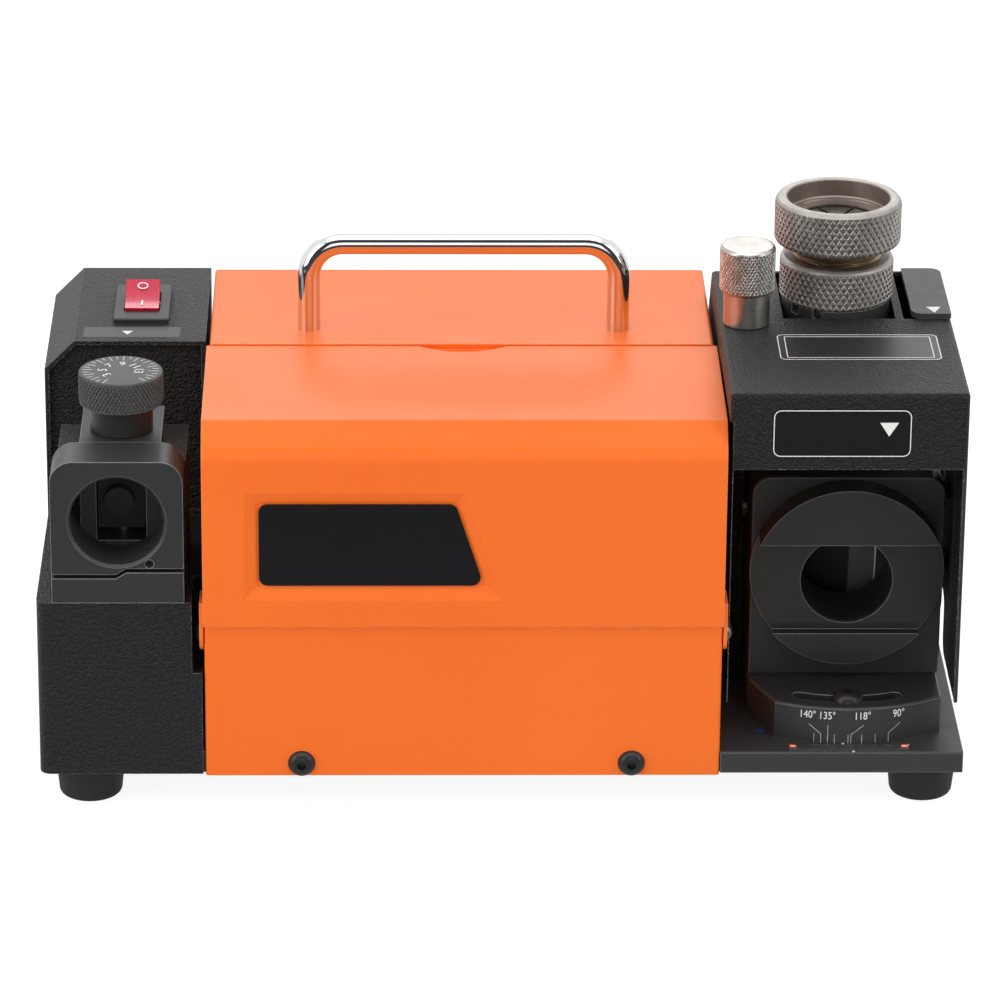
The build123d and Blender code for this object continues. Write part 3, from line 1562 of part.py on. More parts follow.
with BuildPart() as cover_knob:
    rod((knob_x, knob_y, cover_top_z + fit), (0, 0, 1), knob_stem_radius, knob_stem_top_z - cover_top_z - fit)
    rod((knob_x, knob_y, knob_stem_top_z), (0, 0, 1), knob_radius, knob_top_z - knob_stem_top_z)
    chamfer(edges().filter_by(GeomType.CIRCLE).group_by(Axis.Z)[-1], knob_chamfer)
    rod((knob_x, knob_y, cover_top_z + fit), (0, 0, -1), knob_stud_radius, knob_stud_depth - hidden_gap)
save(cover_knob.part, "cover_knob")

# Collet chuck: a sleeve that fits every port, a knurled ring, and the closing nut
sleeve_bottom_z = relief_top_z - chuck_sleeve_length
neck_top_z = nut_top_z - nut_rim_depth - nut_shoulder
chuck_axis = Axis((relief_x, relief_y, 0), (0, 0, 1))
chuck_plane = Plane(origin=(relief_x, relief_y, 0), x_dir=(1, 0, 0), z_dir=(0, -1, 0))
with BuildPart() as chuck_body:
    with BuildSketch(chuck_plane):
        Polygon(
            (chuck_seat_radius, sleeve_bottom_z),
            (chuck_sleeve_radius, sleeve_bottom_z),
            (chuck_sleeve_radius, relief_top_z),
            (chuck_ring_radius, relief_top_z),
            (chuck_ring_radius, chuck_ring_top_z),
            (chuck_neck_radius, chuck_ring_top_z),
            (chuck_neck_radius, neck_top_z),
            (chuck_bore_radius, neck_top_z),
            (chuck_bore_radius, collet_bottom_z + collet_taper),
            (chuck_seat_radius, collet_bottom_z),
            align=None,
        )
    revolve(axis=chuck_axis)
    ring_edges = edges().filter_by(GeomType.CIRCLE).filter_by(
        lambda edge: abs(edge.radius - chuck_ring_radius) < fit
    )
    chamfer(ring_edges, chuck_chamfer)
save(chuck_body.part, "chuck_body")

with BuildPart() as chuck_nut:
    with BuildSketch(chuck_plane):
        Polygon(
            (chuck_neck_radius + fit, nut_bottom_z),
            (nut_radius, nut_bottom_z),
            (nut_radius, nut_top_z),
            (nut_rim_bore_radius, nut_top_z),
            (nut_rim_bore_radius, nut_top_z - nut_rim_depth),
            (nut_throat_radius, nut_top_z - nut_rim_depth),
            (nut_throat_radius, neck_top_z + gap),
            (chuck_neck_radius + fit, neck_top_z + gap),
            align=None,
        )
    revolve(axis=chuck_axis)
    nut_edges = edges().filter_by(GeomType.CIRCLE).filter_by(lambda edge: abs(edge.radius - nut_radius) < fit)
    chamfer(nut_edges, chuck_chamfer)
save(chuck_nut.part, "chuck_nut")

with BuildPart() as chuck_collet:
    with BuildSketch(chuck_plane):
        Polygon(
            (collet_bore_radius, collet_bottom_z + collet_gap),
            (chuck_seat_radius - collet_gap, collet_bottom_z + collet_gap),
            (chuck_bore_radius - collet_gap, collet_bottom_z + collet_taper + collet_gap),
            (chuck_bore_radius - collet_gap, neck_top_z - collet_gap),
            (collet_bore_radius, neck_top_z - collet_gap),
            align=None,
        )
    revolve(axis=chuck_axis)
    for place in range(collet_slits):
        slit_angle = radians(360 * place / collet_slits)
        with Locations(
            Plane(
                origin=(relief_x, relief_y, neck_top_z),
                x_dir=(cos(slit_angle), sin(slit_angle), 0),
                z_dir=(0, 0, 1),
            )
        ):
            Box(
                chuck_bore_radius,
                collet_slot,
                2 * collet_slit_depth,
                align=(Align.MIN, Align.CENTER, Align.CENTER),
                mode=Mode.SUBTRACT,
            )
save(chuck_collet.part, "chuck_collet")

# Storage behind the lid: a folded tray and the spare collets standing in it
tray_left_x = lower_left_x + sheet + tray_gap
tray_right_x = lower_right_x - sheet - tray_gap
tray_front_y = body_front_y + sheet + tray_gap
collet_places = [
    (body_mid_x + (column - (collet_columns - 1) / 2) * collet_pitch_x,
     collet_mid_y + (row - (collet_rows - 1) / 2) * collet_pitch_y)
    for row in range(collet_rows)
    for column in range(collet_columns)
]
with BuildPart() as storage_tray:
    block((tray_left_x, tray_right_x), (tray_back_y - tray_sheet, tray_back_y), (plate_top, tray_wall_top_z))
    block((tray_left_x, tray_right_x), (tray_front_y, tray_back_y), (tray_shelf_z, tray_shelf_z + tray_sheet))
    block((tray_left_x, tray_right_x), (tray_front_y, tray_front_y + tray_sheet), (plate_top, tray_shelf_z))
    for x, y in collet_places:
        rod((x, y, tray_shelf_z), (0, 0, 1), spare_radius + gap, tray_sheet, Mode.SUBTRACT)
save(storage_tray.part, "storage_tray")

with BuildPart() as spare_collets:
    for x, y in collet_places:
        rod((x, y, tray_shelf_z + tray_sheet), (0, 0, 1), spare_head_radius, spare_head)
        rod((x, y, tray_shelf_z + tray_sheet), (0, 0, -1), spare_radius, spare_sunk)
    for x, y in collet_places:
        rod((x, y, tray_shelf_z - spare_sunk), (0, 0, 1), spare_bore, spare_head + 2 * spare_sunk,
            Mode.SUBTRACT)
        for width, depth in ((spare_slot, 2 * spare_radius), (2 * spare_radius, spare_slot)):
            block(
                (x - width / 2, x + width / 2),
                (y - depth / 2, y + depth / 2),
                (tray_shelf_z - spare_sunk, tray_shelf_z),
                Mode.SUBTRACT,
            )
save(spare_collets.part, "spare_collets")

# Side guard: a sheet on the swivel unit, level with the cover's side panel and bevelled in front
guard_front_y = window_front_y + guard_slit
guard_top_z = window_top_z - gap
with BuildPart() as swivel_guard:
    with BuildSketch(Plane.XY.offset(guard_bottom_z)):
        Polygon(
            (panel_left_x, guard_front_y),
            (cover_right_x, guard_front_y + cover_sheet),
            (cover_right_x, guard_back_y),
            (panel_left_x, guard_back_y),
            align=None,
        )
    extrude(amount=guard_top_z - guard_bottom_z)
    block((panel_left_x, cover_right_x), (guard_notch_y, guard_back_y), (guard_bottom_z, guard_notch_z),
          Mode.SUBTRACT)
    notch_edges = edges().filter_by(Axis.X).filter_by(lambda edge: abs(edge.center().Y - guard_notch_y) < fit)
    fillet(notch_edges, guard_corner)
    for z in (guard_foot_low_z, guard_foot_high_z):
        block(
            (swivel_x + block_half_width, panel_left_x),
            (block_back_y - 2 * guard_foot, block_back_y - guard_foot),
            (z, z + guard_foot),
        )
save(swivel_guard.part, "swivel_guard")
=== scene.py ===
import json
import math

import bmesh
import bpy
from mathutils import Matrix, Vector


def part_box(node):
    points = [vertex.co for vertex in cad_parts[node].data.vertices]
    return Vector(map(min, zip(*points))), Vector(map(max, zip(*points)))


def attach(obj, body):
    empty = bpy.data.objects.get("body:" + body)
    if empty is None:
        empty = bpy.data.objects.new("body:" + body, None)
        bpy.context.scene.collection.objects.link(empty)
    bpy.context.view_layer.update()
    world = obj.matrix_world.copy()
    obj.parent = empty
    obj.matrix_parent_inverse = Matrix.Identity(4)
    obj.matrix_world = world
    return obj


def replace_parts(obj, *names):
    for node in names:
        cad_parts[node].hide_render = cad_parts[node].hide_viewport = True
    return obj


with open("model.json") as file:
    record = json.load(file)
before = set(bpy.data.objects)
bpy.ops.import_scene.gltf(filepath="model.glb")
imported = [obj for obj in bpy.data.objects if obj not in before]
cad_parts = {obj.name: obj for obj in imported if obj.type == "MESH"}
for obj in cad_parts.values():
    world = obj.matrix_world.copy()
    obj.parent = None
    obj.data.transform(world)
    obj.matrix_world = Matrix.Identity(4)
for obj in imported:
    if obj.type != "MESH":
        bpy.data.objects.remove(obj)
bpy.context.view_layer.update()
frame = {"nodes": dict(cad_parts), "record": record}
nodes = frame["nodes"]
joints = {joint["name"]: joint for joint in frame["record"]["behaviour"]["joints"]}
bpy.context.scene.view_settings.view_transform = "Standard"
print("frame loaded:", len(nodes), "nodes")

mm = 0.001


def tone(red, green, blue):
    # a colour picked on screen, 0 to 255, as the linear values the shader wants
    def linear(part):
        part = part / 255
        return part / 12.92 if part <= 0.04045 else ((part + 0.055) / 1.055) ** 2.4
    return (linear(red), linear(green), linear(blue), 1.0)


def grey(value):
    return tone(value, value, value)


def darkened(color, share):
    return tuple(part * share for part in color[:3]) + (1.0,)


class Wire:
    # a socket's value, so that shader sums read as sums
    def __init__(self, look, socket):
        self.look = look
        self.socket = socket

    def calc(self, operation, first, second):
        return self.look.output(
            self.look.add("ShaderNodeMath", {"operation": operation}, {0: first, 1: second}))

    def __add__(self, other):
        return self.calc("ADD", self, other)

    def __mul__(self, other):
        return self.calc("MULTIPLY", self, other)

    def __sub__(self, other):
        return self.calc("SUBTRACT", self, other)

    def __rsub__(self, other):
        return self.calc("SUBTRACT", other, self)

    def __gt__(self, other):
        return self.calc("GREATER_THAN", self, other)

    def __lt__(self, other):
        return self.calc("LESS_THAN", self, other)


class Graph:
    def __init__(self, tree):
        self.tree = tree

    def add(self, kind, settings=None, values=None):
        node = self.tree.nodes.new(kind)
        for key, value in (settings or {}).items():
            if key == "stops":
                for stop, (place, shade) in zip(node.color_ramp.elements, value):
                    stop.position = place
                    stop.color = (shade, shade, shade, 1.0)
            else:
                setattr(node, key, value)
        for key, value in (values or {}).items():
            self.feed(node.inputs[key], value)
        return node

    def feed(self, socket, value):
        if isinstance(value, Wire):
            self.tree.links.new(value.socket, socket)
        else:
            socket.default_value = value

    def output(self, node, name=0):
        return Wire(self, node.outputs[name])

    def mixShaders(self, share, first, second):
        return self.output(self.add("ShaderNodeMixShader", None, {0: share, 1: first, 2: second}))

    def lit(self, kind, strength):
        # plain white light of one strength
        return self.output(self.add(kind, None, {"Color": (1, 1, 1, 1), "Strength": strength}))

    def seen(self):
        # 1 for what the camera sees, straight or in a mirror
        rays = self.add("ShaderNodeLightPath")
        straight = self.output(rays, "Is Camera Ray").calc(
            "MAXIMUM", self.output(rays, "Is Camera Ray"), self.output(rays, "Is Transmission Ray"))
        return straight, self.output(rays, "Is Glossy Ray")

    def place(self, stretch=(1, 1, 1)):
        where = self.output(self.add("ShaderNodeTexCoord"), "Object")
        return self.output(self.add("ShaderNodeMapping", None, {"Vector": where, "Scale": stretch}), "Vector")

    def axis(self, letter):
        return self.output(self.add("ShaderNodeSeparateXYZ", None, {0: self.place()}), letter)

    def noise(self, scale, detail=2.0, roughness=0.5, stretch=(1, 1, 1)):
        values = {"Vector": self.place(stretch), "Scale": scale, "Detail": detail, "Roughness": roughness}
        return self.output(self.add("ShaderNodeTexNoise", None, values), "Fac")

    def cells(self, scale):
        values = {"Vector": self.place(), "Scale": scale}
        return self.output(self.add("ShaderNodeTexVoronoi", {"feature": "F1"}, values), "Distance")

    def ramp(self, value, stops):
        return self.output(self.add("ShaderNodeValToRGB", {"stops": stops}, {"Fac": value}), "Color")

    def spread(self, value, low, high):
        values = {"Value": value, "To Min": low, "To Max": high}
        return self.output(self.add("ShaderNodeMapRange", None, values), "Result")

    def blendColors(self, mask, first, second):
        node = self.add("ShaderNodeMix", {"data_type": "RGBA"}, {"Factor": mask, 6: first, 7: second})
        return self.output(node, 2)

    def rounded(self, radius):
        # the normal of corners eased to this radius
        return self.output(self.add("ShaderNodeBevel", {"samples": 6}, {"Radius": radius}), "Normal")

    def edges(self, radius):
        # 1 along sharp corners, 0 elsewhere: the mask through which the finishes paint their corner highlights
        eased = self.rounded(radius)
        plain = self.output(self.add("ShaderNodeNewGeometry"), "Normal")
        match = self.add("ShaderNodeVectorMath", {"operation": "DOT_PRODUCT"}, {0: eased, 1: plain})
        return self.ramp(1 - self.output(match, "Value"), [(0.05, 0.0), (0.14, 1.0)])


class Look(Graph):
    # one material, with its fixed shader inputs by name
    def __init__(self, name, color, **fixed):
        self.material = bpy.data.materials.new(name)
        self.material.use_nodes = True
        super().__init__(self.material.node_tree)
        self.shader = self.tree.nodes["Principled BSDF"]
        self.set("Base Color", color)
        for key, value in fixed.items():
            self.set(key.replace("_", " "), value)

    def set(self, name, value):
        self.feed(self.shader.inputs[name], value)

    def bump(self, height, strength, distance, ease=None):
        values = {"Height": height, "Strength": strength, "Distance": distance}
        if ease:
            values["Normal"] = self.rounded(ease)
        self.set("Normal", self.output(self.add("ShaderNodeBump", None, values), "Normal"))


paintShine = 0.4  # specular level of every painted, anodised and moulded surface
coat = {"patchScale": 9, "patchStops": [(0.35, 0.0), (0.7, 1.0)], "highlightShare": 0.75, "corner": 0.5 * mm,
        "shineScale": 30, "roughness": (0.34, 0.46), "peelScale": 1500, "peel": 0.22, "peelDepth": 0.25 * mm}


def powderCoat(name, color, paler, highlightTone):
    # satin powder coat with a fine orange-peel skin, with a painted highlight along its corners
    look = Look(name, color, Specular_IOR_Level=paintShine)
    patches = look.ramp(look.noise(coat["patchScale"], 3), coat["patchStops"])
    body = look.blendColors(patches, color, paler)
    # painted highlight: the corners blended toward the pale highlight tone
    look.set("Base Color", look.blendColors(look.edges(coat["corner"]) * coat["highlightShare"], body, highlightTone))
    look.set("Roughness", look.spread(look.noise(coat["shineScale"]), *coat["roughness"]))
    look.bump(look.noise(coat["peelScale"]), coat["peel"], coat["peelDepth"], coat["corner"])
    return look.material


stovePaint = {"grain": 1250, "wrinkleStops": [(0.36, 0.0), (0.64, 1.0)], "wrinkle": 0.7, "cell": 0.5,
              "cellScale": 0.9, "shineScale": 0.5, "roughness": (0.32, 0.48), "relief": 0.8 * mm,
              "corner": 0.5 * mm, "ease": 0.4 * mm, "speckScale": 1300, "speckStops": [(0.4, 0.25), (0.62, 1.0)]}


def crackle(name, color, highlightTone):
    # wrinkled black stove paint: leathery cells under a millimetre across, with a painted highlight in specks along
    # the corners
    look = Look(name, color, Specular_IOR_Level=paintShine)
    grain = stovePaint["grain"]
    wrinkle = look.ramp(look.noise(grain, 2, 0.55), stovePaint["wrinkleStops"])
    height = wrinkle * stovePaint["wrinkle"] + look.cells(grain * stovePaint["cellScale"]) * stovePaint["cell"]
    look.set("Roughness", look.spread(look.noise(grain * stovePaint["shineScale"]), *stovePaint["roughness"]))
    # specks of painted highlight along the corners, in the pale highlight tone
    specks = look.ramp(look.noise(stovePaint["speckScale"]), stovePaint["speckStops"])
    look.set("Base Color", look.blendColors(look.edges(stovePaint["corner"]) * specks, color, highlightTone))
    look.bump(height, 1.0, stovePaint["relief"], stovePaint["ease"])
    return look.material


anodising = {"metal": 0.25, "lineScale": 420, "lineStretch": (1, 1, 9), "line": 0.08, "lineDepth": 0.2 * mm,
             "shineScale": 160, "corner": 0.45 * mm, "ease": 0.4 * mm}


def anodised(name, color, highlightTone, roughness=(0.36, 0.48)):
    # dark anodised aluminium, faintly lined by the cutter, with a painted highlight along its corners
    look = Look(name, color, Metallic=anodising["metal"], Specular_IOR_Level=paintShine)
    lines = look.noise(anodising["lineScale"], stretch=anodising["lineStretch"])
    # painted highlight: the corners blended toward the pale highlight tone
    look.set("Base Color", look.blendColors(look.edges(anodising["corner"]), color, highlightTone))
    look.set("Roughness", look.spread(look.noise(anodising["shineScale"], 3), *roughness))
    look.bump(lines, anodising["line"], anodising["lineDepth"], anodising["ease"])
    return look.material


turning = {"wearScale": 140, "wearStops": [(0.35, 0.0), (0.75, 1.0)], "worn": 0.72,
           "shineScale": 260, "shineStretch": (1, 1, 12),
           "lineScale": 900, "lineStretch": (0.3, 0.3, 10), "line": 0.1, "lineDepth": 0.1 * mm}


def turnedSteel(name, color, roughness=(0.22, 0.36)):
    # bare steel with turning lines and light wear
    look = Look(name, color, Metallic=1.0)
    wear = look.ramp(look.noise(turning["wearScale"], 4, 0.6), turning["wearStops"])
    look.set("Base Color", look.blendColors(wear, color, darkened(color, turning["worn"])))
    shine = look.noise(turning["shineScale"], 3, stretch=turning["shineStretch"])
    look.set("Roughness", look.spread(shine, *roughness))
    look.bump(look.noise(turning["lineScale"], stretch=turning["lineStretch"]), turning["line"], turning["lineDepth"])
    return look.material


def chromePlate(name, color, roughness=(0.03, 0.09)):
    look = Look(name, color, Metallic=1.0)
    look.set("Roughness", look.spread(look.noise(60, 3), *roughness))
    return look.material


moulding = {"shineScale": 200, "corner": 0.6 * mm, "ease": 0.4 * mm, "grainDepth": 0.2 * mm}


def mouldedPlastic(name, color, roughness=(0.4, 0.55), grain=900, push=0.1, highlightTone=None):
    # moulded or plainly painted skin with a fine grain, with a painted highlight along its corners where it is given
    # a highlight tone
    look = Look(name, color, Specular_IOR_Level=paintShine)
    look.set("Roughness", look.spread(look.noise(moulding["shineScale"]), *roughness))
    if highlightTone:
        # painted highlight: the corners blended toward the pale highlight tone
        look.set("Base Color", look.blendColors(look.edges(moulding["corner"]), color, highlightTone))
    look.bump(look.noise(grain), push, moulding["grainDepth"], moulding["ease"] if highlightTone else None)
    return look.material


wheelBands = {"rimLeft": 123.9 * mm, "rimRight": 133.5 * mm, "highlightWidth": 0.6 * mm, "roughness": 0.85,
              "gritScale": 2400, "gritStops": [(0.2, 0.55), (0.6, 1.0)],
              "poreScale": 2600, "pore": 0.4, "poreDepth": 0.3 * mm}


def abrasive(name, color, light, highlightTone):
    # bonded grit with painted light: the rim face painted paler than the two dark bevels as if lit, and a painted
    # highlight along its right corner
    look = Look(name, color, Roughness=wheelBands["roughness"])
    across = look.axis("X")
    # the rim band gets the lighter tone as painted light, and a thin strip at its right as a painted highlight
    band = (across > wheelBands["rimLeft"]) * (across < wheelBands["rimRight"])
    corner = (across > wheelBands["rimRight"] - wheelBands["highlightWidth"]) * band
    grit = look.ramp(look.cells(wheelBands["gritScale"]), wheelBands["gritStops"])
    faces = look.blendColors(band * grit, color, light)
    look.set("Base Color", look.blendColors(corner, faces, highlightTone))
    look.bump(look.noise(wheelBands["poreScale"], 3, 0.7), wheelBands["pore"], wheelBands["poreDepth"])
    return look.material


lens = {"ribScale": 330.0, "groove": 0.7, "rib": 0.25, "ribDepth": 0.2 * mm, "roughness": 0.22,
        "coat": 0.4, "glow": 0.25, "glowDepth": 3 * mm}


def redLens(name, color):
    # translucent moulded rocker with fine ribs along its length, their grooves darkened in colour as painted shade
    look = Look(name, color, Roughness=lens["roughness"], Coat_Weight=lens["coat"],
                Subsurface_Weight=lens["glow"], Subsurface_Scale=lens["glowDepth"])
    ribs = look.output(look.add("ShaderNodeTexWave", {"bands_direction": "X"}, {
        "Vector": look.place(), "Scale": lens["ribScale"], "Distortion": 0.0}), "Fac")
    # painted shade: the colour darkened in the grooves between the ribs
    look.set("Base Color", look.blendColors(ribs, darkened(color, lens["groove"]), color))
    look.bump(ribs, lens["rib"], lens["ribDepth"])
    return look.material


# the pale last tone of the powder coat, stove paint, anodising and plate and switch plastics paints their corner
# highlight; the wheel grit's two lighter tones paint its lit rim face and its highlight
finishes = {
    "orange_coat": powderCoat("orangePowderCoat", tone(247, 110, 22), tone(249, 116, 28), tone(253, 168, 122)),
    "crackle_black": crackle("crackleBlack", tone(21, 21, 22), grey(150)),
    "plate_grey": mouldedPlastic("satinPlatePaint", tone(54, 54, 55), (0.42, 0.55), 500, 0.12, grey(130)),
    "anodised_grey": anodised("anodisedGrey", tone(58, 59, 60), tone(182, 183, 185)),
    "bare_aluminium": turnedSteel("bareAluminium", tone(178, 179, 182), (0.3, 0.42)),
    "chrome": chromePlate("chromeHandle", tone(226, 227, 230)),
    "steel": turnedSteel("turnedSteel", tone(158, 155, 151)),
    "knurled_steel": turnedSteel("knurledSteel", tone(174, 169, 164), (0.42, 0.55)),
    # a dark steel tone; on the setting stop, deep in its bore, this dark tone stands in as painted shade
    "black_steel": mouldedPlastic("blackSteelAndBoreShade", tone(36, 36, 37), (0.3, 0.4), 700, 0.08),
    "copper_rivet": turnedSteel("copperRivet", tone(232, 150, 118), (0.25, 0.4)),
    "rubber": mouldedPlastic("footRubber", grey(38), (0.6, 0.75), 800, 0.15),
    "rocker_red": redLens("rockerLens", tone(214, 24, 66)),
    "black_plastic": mouldedPlastic("switchPlastic", tone(40, 40, 41), (0.42, 0.5), 900, 0.08, grey(110)),
    "badge_black": mouldedPlastic("badgePlastic", tone(22, 23, 26), (0.3, 0.36), 600, 0.05),
    "capacitor_grey": mouldedPlastic("capacitorCase", tone(196, 196, 192), (0.4, 0.5)),
    "wheel_grit": abrasive("wheelGrit", tone(44, 43, 42), tone(98, 96, 93), tone(215, 214, 210)),
    "iron_core": mouldedPlastic("motorEnamel", tone(92, 94, 96), (0.4, 0.55), 300, 0.15),
}
extras = {
    "whiteInk": mouldedPlastic("whiteInk", tone(232, 232, 228), (0.45, 0.55), 900, 0.04),
    "labelFilm": mouldedPlastic("labelFilm", tone(25, 25, 26), (0.34, 0.42), 700, 0.05),
    # the dark knurl's pale last tone paints its corner highlight
    "darkKnurl": anodised("darkKnurl", grey(52), grey(120), (0.34, 0.46)),
    "threadBrass": turnedSteel("threadBrass", tone(158, 138, 112), (0.3, 0.42)),
    "boreBronze": turnedSteel("boreBronze", tone(162, 150, 142), (0.42, 0.55)),
    "knobSteel": turnedSteel("knobSteel", tone(198, 193, 188), (0.26, 0.38)),
    "blueDot": mouldedPlastic("blueDot", tone(48, 72, 150), (0.4, 0.5), 900, 0.04),
}
slotOf = {entry["node"]: entry["material_slot"] for entry in frame["record"]["subparts"]}
for name, node in nodes.items():
    node.data.materials.clear()
    node.data.materials.append(finishes[slotOf[name]])
print("finishes made:", len(finishes) + len(extras))


def finishPiece(name, mesh, dress, lining=None):
    body, material, slotName = dress
    piece = bpy.data.objects.new(name, mesh)
    bpy.context.collection.objects.link(piece)
    mesh.materials.append(material)
    if lining:
        mesh.materials.append(lining)
    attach(piece, body)
    return piece


def meshFrom(name, work, recalc=True):
    if recalc:
        bmesh.ops.recalc_face_normals(work, faces=work.faces)
    mesh = bpy.data.meshes.new(name)
    work.to_mesh(mesh)
    work.free()
    return mesh


def scaled(points):
    return [(x * mm, y * mm) for x, y in points]


def ridge(value):
    # 1 on a crest line, 0 in the groove
    return 1 - abs((value % 1.0) * 2 - 1)


touching = 1e-7
onBand = 1e-6


def bandedOutline(cfg):
    # the outline's points, with even extra rings where a knurl or thread will be cut
    points = []
    for index, (radius, height) in enumerate(cfg["outline"]):
        nextRadius, nextHeight = cfg["outline"][(index + 1) % len(cfg["outline"])]
        points.append((radius, height))
        low, high = sorted((height, nextHeight))
        banded = any(
            abs(radius - band["radius"]) < touching and abs(nextRadius - band["radius"]) < touching
            and band["low"] - touching <= low and high <= band["high"] + touching for band in cfg["bands"])
        if banded:
            for step in range(1, cfg["rings"]):
                points.append((radius, height + (nextHeight - height) * step / cfg["rings"]))
    return points


def turnedRing(name, cfg, dress, replaced):
    # a closed outline spun round an upright axis, with a knurled or threaded band
    work = bmesh.new()
    verts = [work.verts.new((radius, 0, height)) for radius, height in bandedOutline(cfg)]
    edges = [work.edges.new((vert, verts[(i + 1) % len(verts)])) for i, vert in enumerate(verts)]
    bmesh.ops.spin(work, geom=verts + edges, cent=(0, 0, 0), axis=(0, 0, 1), dvec=(0, 0, 0),
                   angle=2 * math.pi, steps=cfg["steps"], use_merge=True, use_duplicate=False)
    bmesh.ops.remove_doubles(work, verts=work.verts, dist=touching)
    for vert in work.verts:
        radius = math.hypot(vert.co.x, vert.co.y)
        turn = math.atan2(vert.co.y, vert.co.x) / (2 * math.pi)
        for band in cfg["bands"]:
            if abs(radius - band["radius"]) > onBand or not band["low"] < vert.co.z < band["high"]:
                continue
            rise = vert.co.z / band["pitch"]
            if band["kind"] == "knurl":
                around = turn * band["count"]
                crest = min(1, band["flat"] * min(ridge(around + rise), ridge(around - rise)))
            else:
                crest = ridge(turn + rise)
            pull = 1 - band["depth"] * (1 - crest) / radius
            vert.co.x *= pull
            vert.co.y *= pull
    lined = cfg.get("lined")
    if lined:
        for face in work.faces:
            centre = face.calc_center_median()
            if math.hypot(centre.x, centre.y) < lined["radius"] and lined["low"] < centre.z < lined["high"]:
                face.material_index = 1
    bmesh.ops.translate(work, verts=work.verts, vec=cfg["axis"])
    lining = extras[lined["finish"]] if lined else None
    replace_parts(finishPiece(name, meshFrom(name, work), dress, lining), replaced)


def layFlat(name, work, place, dress, thickness):
    # gives flat faces a thickness and lays them on a surface
    raised = bmesh.ops.extrude_face_region(work, geom=work.faces[:])
    top = [item for item in raised["geom"] if isinstance(item, bmesh.types.BMVert)]
    bmesh.ops.translate(work, verts=top, vec=(0, 0, thickness))
    bmesh.ops.transform(work, matrix=place, verts=work.verts)
    finishPiece(name, meshFrom(name, work), dress)


def flatShape(name, corners, place, dress, thickness=0.08 * mm):
    work = bmesh.new()
    work.faces.new([work.verts.new((x, y, 0)) for x, y in corners])
    layFlat(name, work, place, dress, thickness)


def roundedCorners(width, height, radius, steps=6):
    corners = []
    for right, up, start in ((1, 1, 0), (-1, 1, 90), (-1, -1, 180), (1, -1, 270)):
        for step in range(steps + 1):
            angle = math.radians(start + 90 * step / steps)
            corners.append((right * (width / 2 - radius) + radius * math.cos(angle),
                            up * (height / 2 - radius) + radius * math.sin(angle)))
    return corners


def flatLoop(name, width, height, radius, line, place, dress, thickness):
    # a rounded outline, inset once and emptied
    work = bmesh.new()
    face = work.faces.new([work.verts.new((x, y, 0)) for x, y in roundedCorners(width, height, radius)])
    work.normal_update()
    bmesh.ops.inset_region(work, faces=[face], thickness=line, use_even_offset=True, use_boundary=True)
    bmesh.ops.delete(work, geom=[face], context="FACES_ONLY")
    layFlat(name, work, place, dress, thickness)


def addText(name, text, size, place, dress, thickness=0.04 * mm, width=1.0):
    curve = bpy.data.curves.new(name, "FONT")
    curve.body = text
    curve.size = size
    curve.align_x = "CENTER"
    curve.align_y = "CENTER"
    curve.extrude = thickness
    curve.resolution_u = 6
    holder = bpy.data.objects.new(name + "Line", curve)
    bpy.context.collection.objects.link(holder)
    bpy.context.view_layer.update()
    mesh = bpy.data.meshes.new_from_object(holder.evaluated_get(bpy.context.evaluated_depsgraph_get()))
    bpy.data.objects.remove(holder)
    mesh.transform(place @ Matrix.Diagonal((width, 1, 1, 1)))
    finishPiece(name, mesh, dress)


def level(x, y, z, turn=0.0):
    return Matrix.Translation((x, y, z)) @ Matrix.Rotation(math.radians(turn), 4, "Z")


def upright(x, y, z, turn=0.0):
    # stands facing -Y, turned round Z
    return level(x, y, z, turn) @ Matrix.Rotation(math.pi / 2, 4, "X")


cameraSet = {"spot": (-0.0416, -1.8325, 0.8485), "lens": 201.6, "film": 36.0, "pitch": 22.6, "pan": 1.207, "far": 20}
cameraData = bpy.data.cameras.new("camera")
cameraData.lens = cameraSet["lens"]
cameraData.sensor_width = cameraSet["film"]
cameraData.clip_end = cameraSet["far"]
camera = bpy.data.objects.new("camera", cameraData)
bpy.context.collection.objects.link(camera)
camera.matrix_world = (Matrix.Translation(cameraSet["spot"])
                       @ Matrix.Rotation(math.radians(90 - cameraSet["pitch"]), 4, "X")
                       @ Matrix.Rotation(math.radians(-cameraSet["pan"]), 4, "Y"))
bpy.context.scene.camera = camera

lampSet = {
    "topSoft": {"spot": (0.0, -0.25, 1.35), "aim": (0, 0, 0.08), "size": (1.5, 1.0), "power": 8.0},
    "leftSoft": {"spot": (-1.25, -0.75, 0.65), "aim": (0, 0, 0.09), "size": (0.8, 1.2), "power": 8.0},
    "rightSoft": {"spot": (1.3, -0.7, 0.7), "aim": (0, 0, 0.09), "size": (0.7, 1.1), "power": 5.0},
    "frontSoft": {"spot": (0.1, -1.9, 0.55), "aim": (0, 0, 0.09), "size": (1.4, 0.8), "power": 4.5},
    "backStrip": {"spot": (0.0, 1.1, 0.9), "aim": (0, 0, 0.15), "size": (1.6, 0.4), "power": 5.0},
}
for name, lamp in lampSet.items():
    data = bpy.data.lights.new(name, "AREA")
    data.shape = "RECTANGLE"
    data.size, data.size_y = lamp["size"]
    data.energy = lamp["power"]
    light = bpy.data.objects.new(name, data)
    bpy.context.collection.objects.link(light)
    light.location = lamp["spot"]
    light.rotation_euler = (Vector(lamp["aim"]) - Vector(lamp["spot"])).to_track_quat("-Z", "Y").to_euler()

world = bpy.data.worlds.new("studio")
bpy.context.scene.world = world
world.use_nodes = True
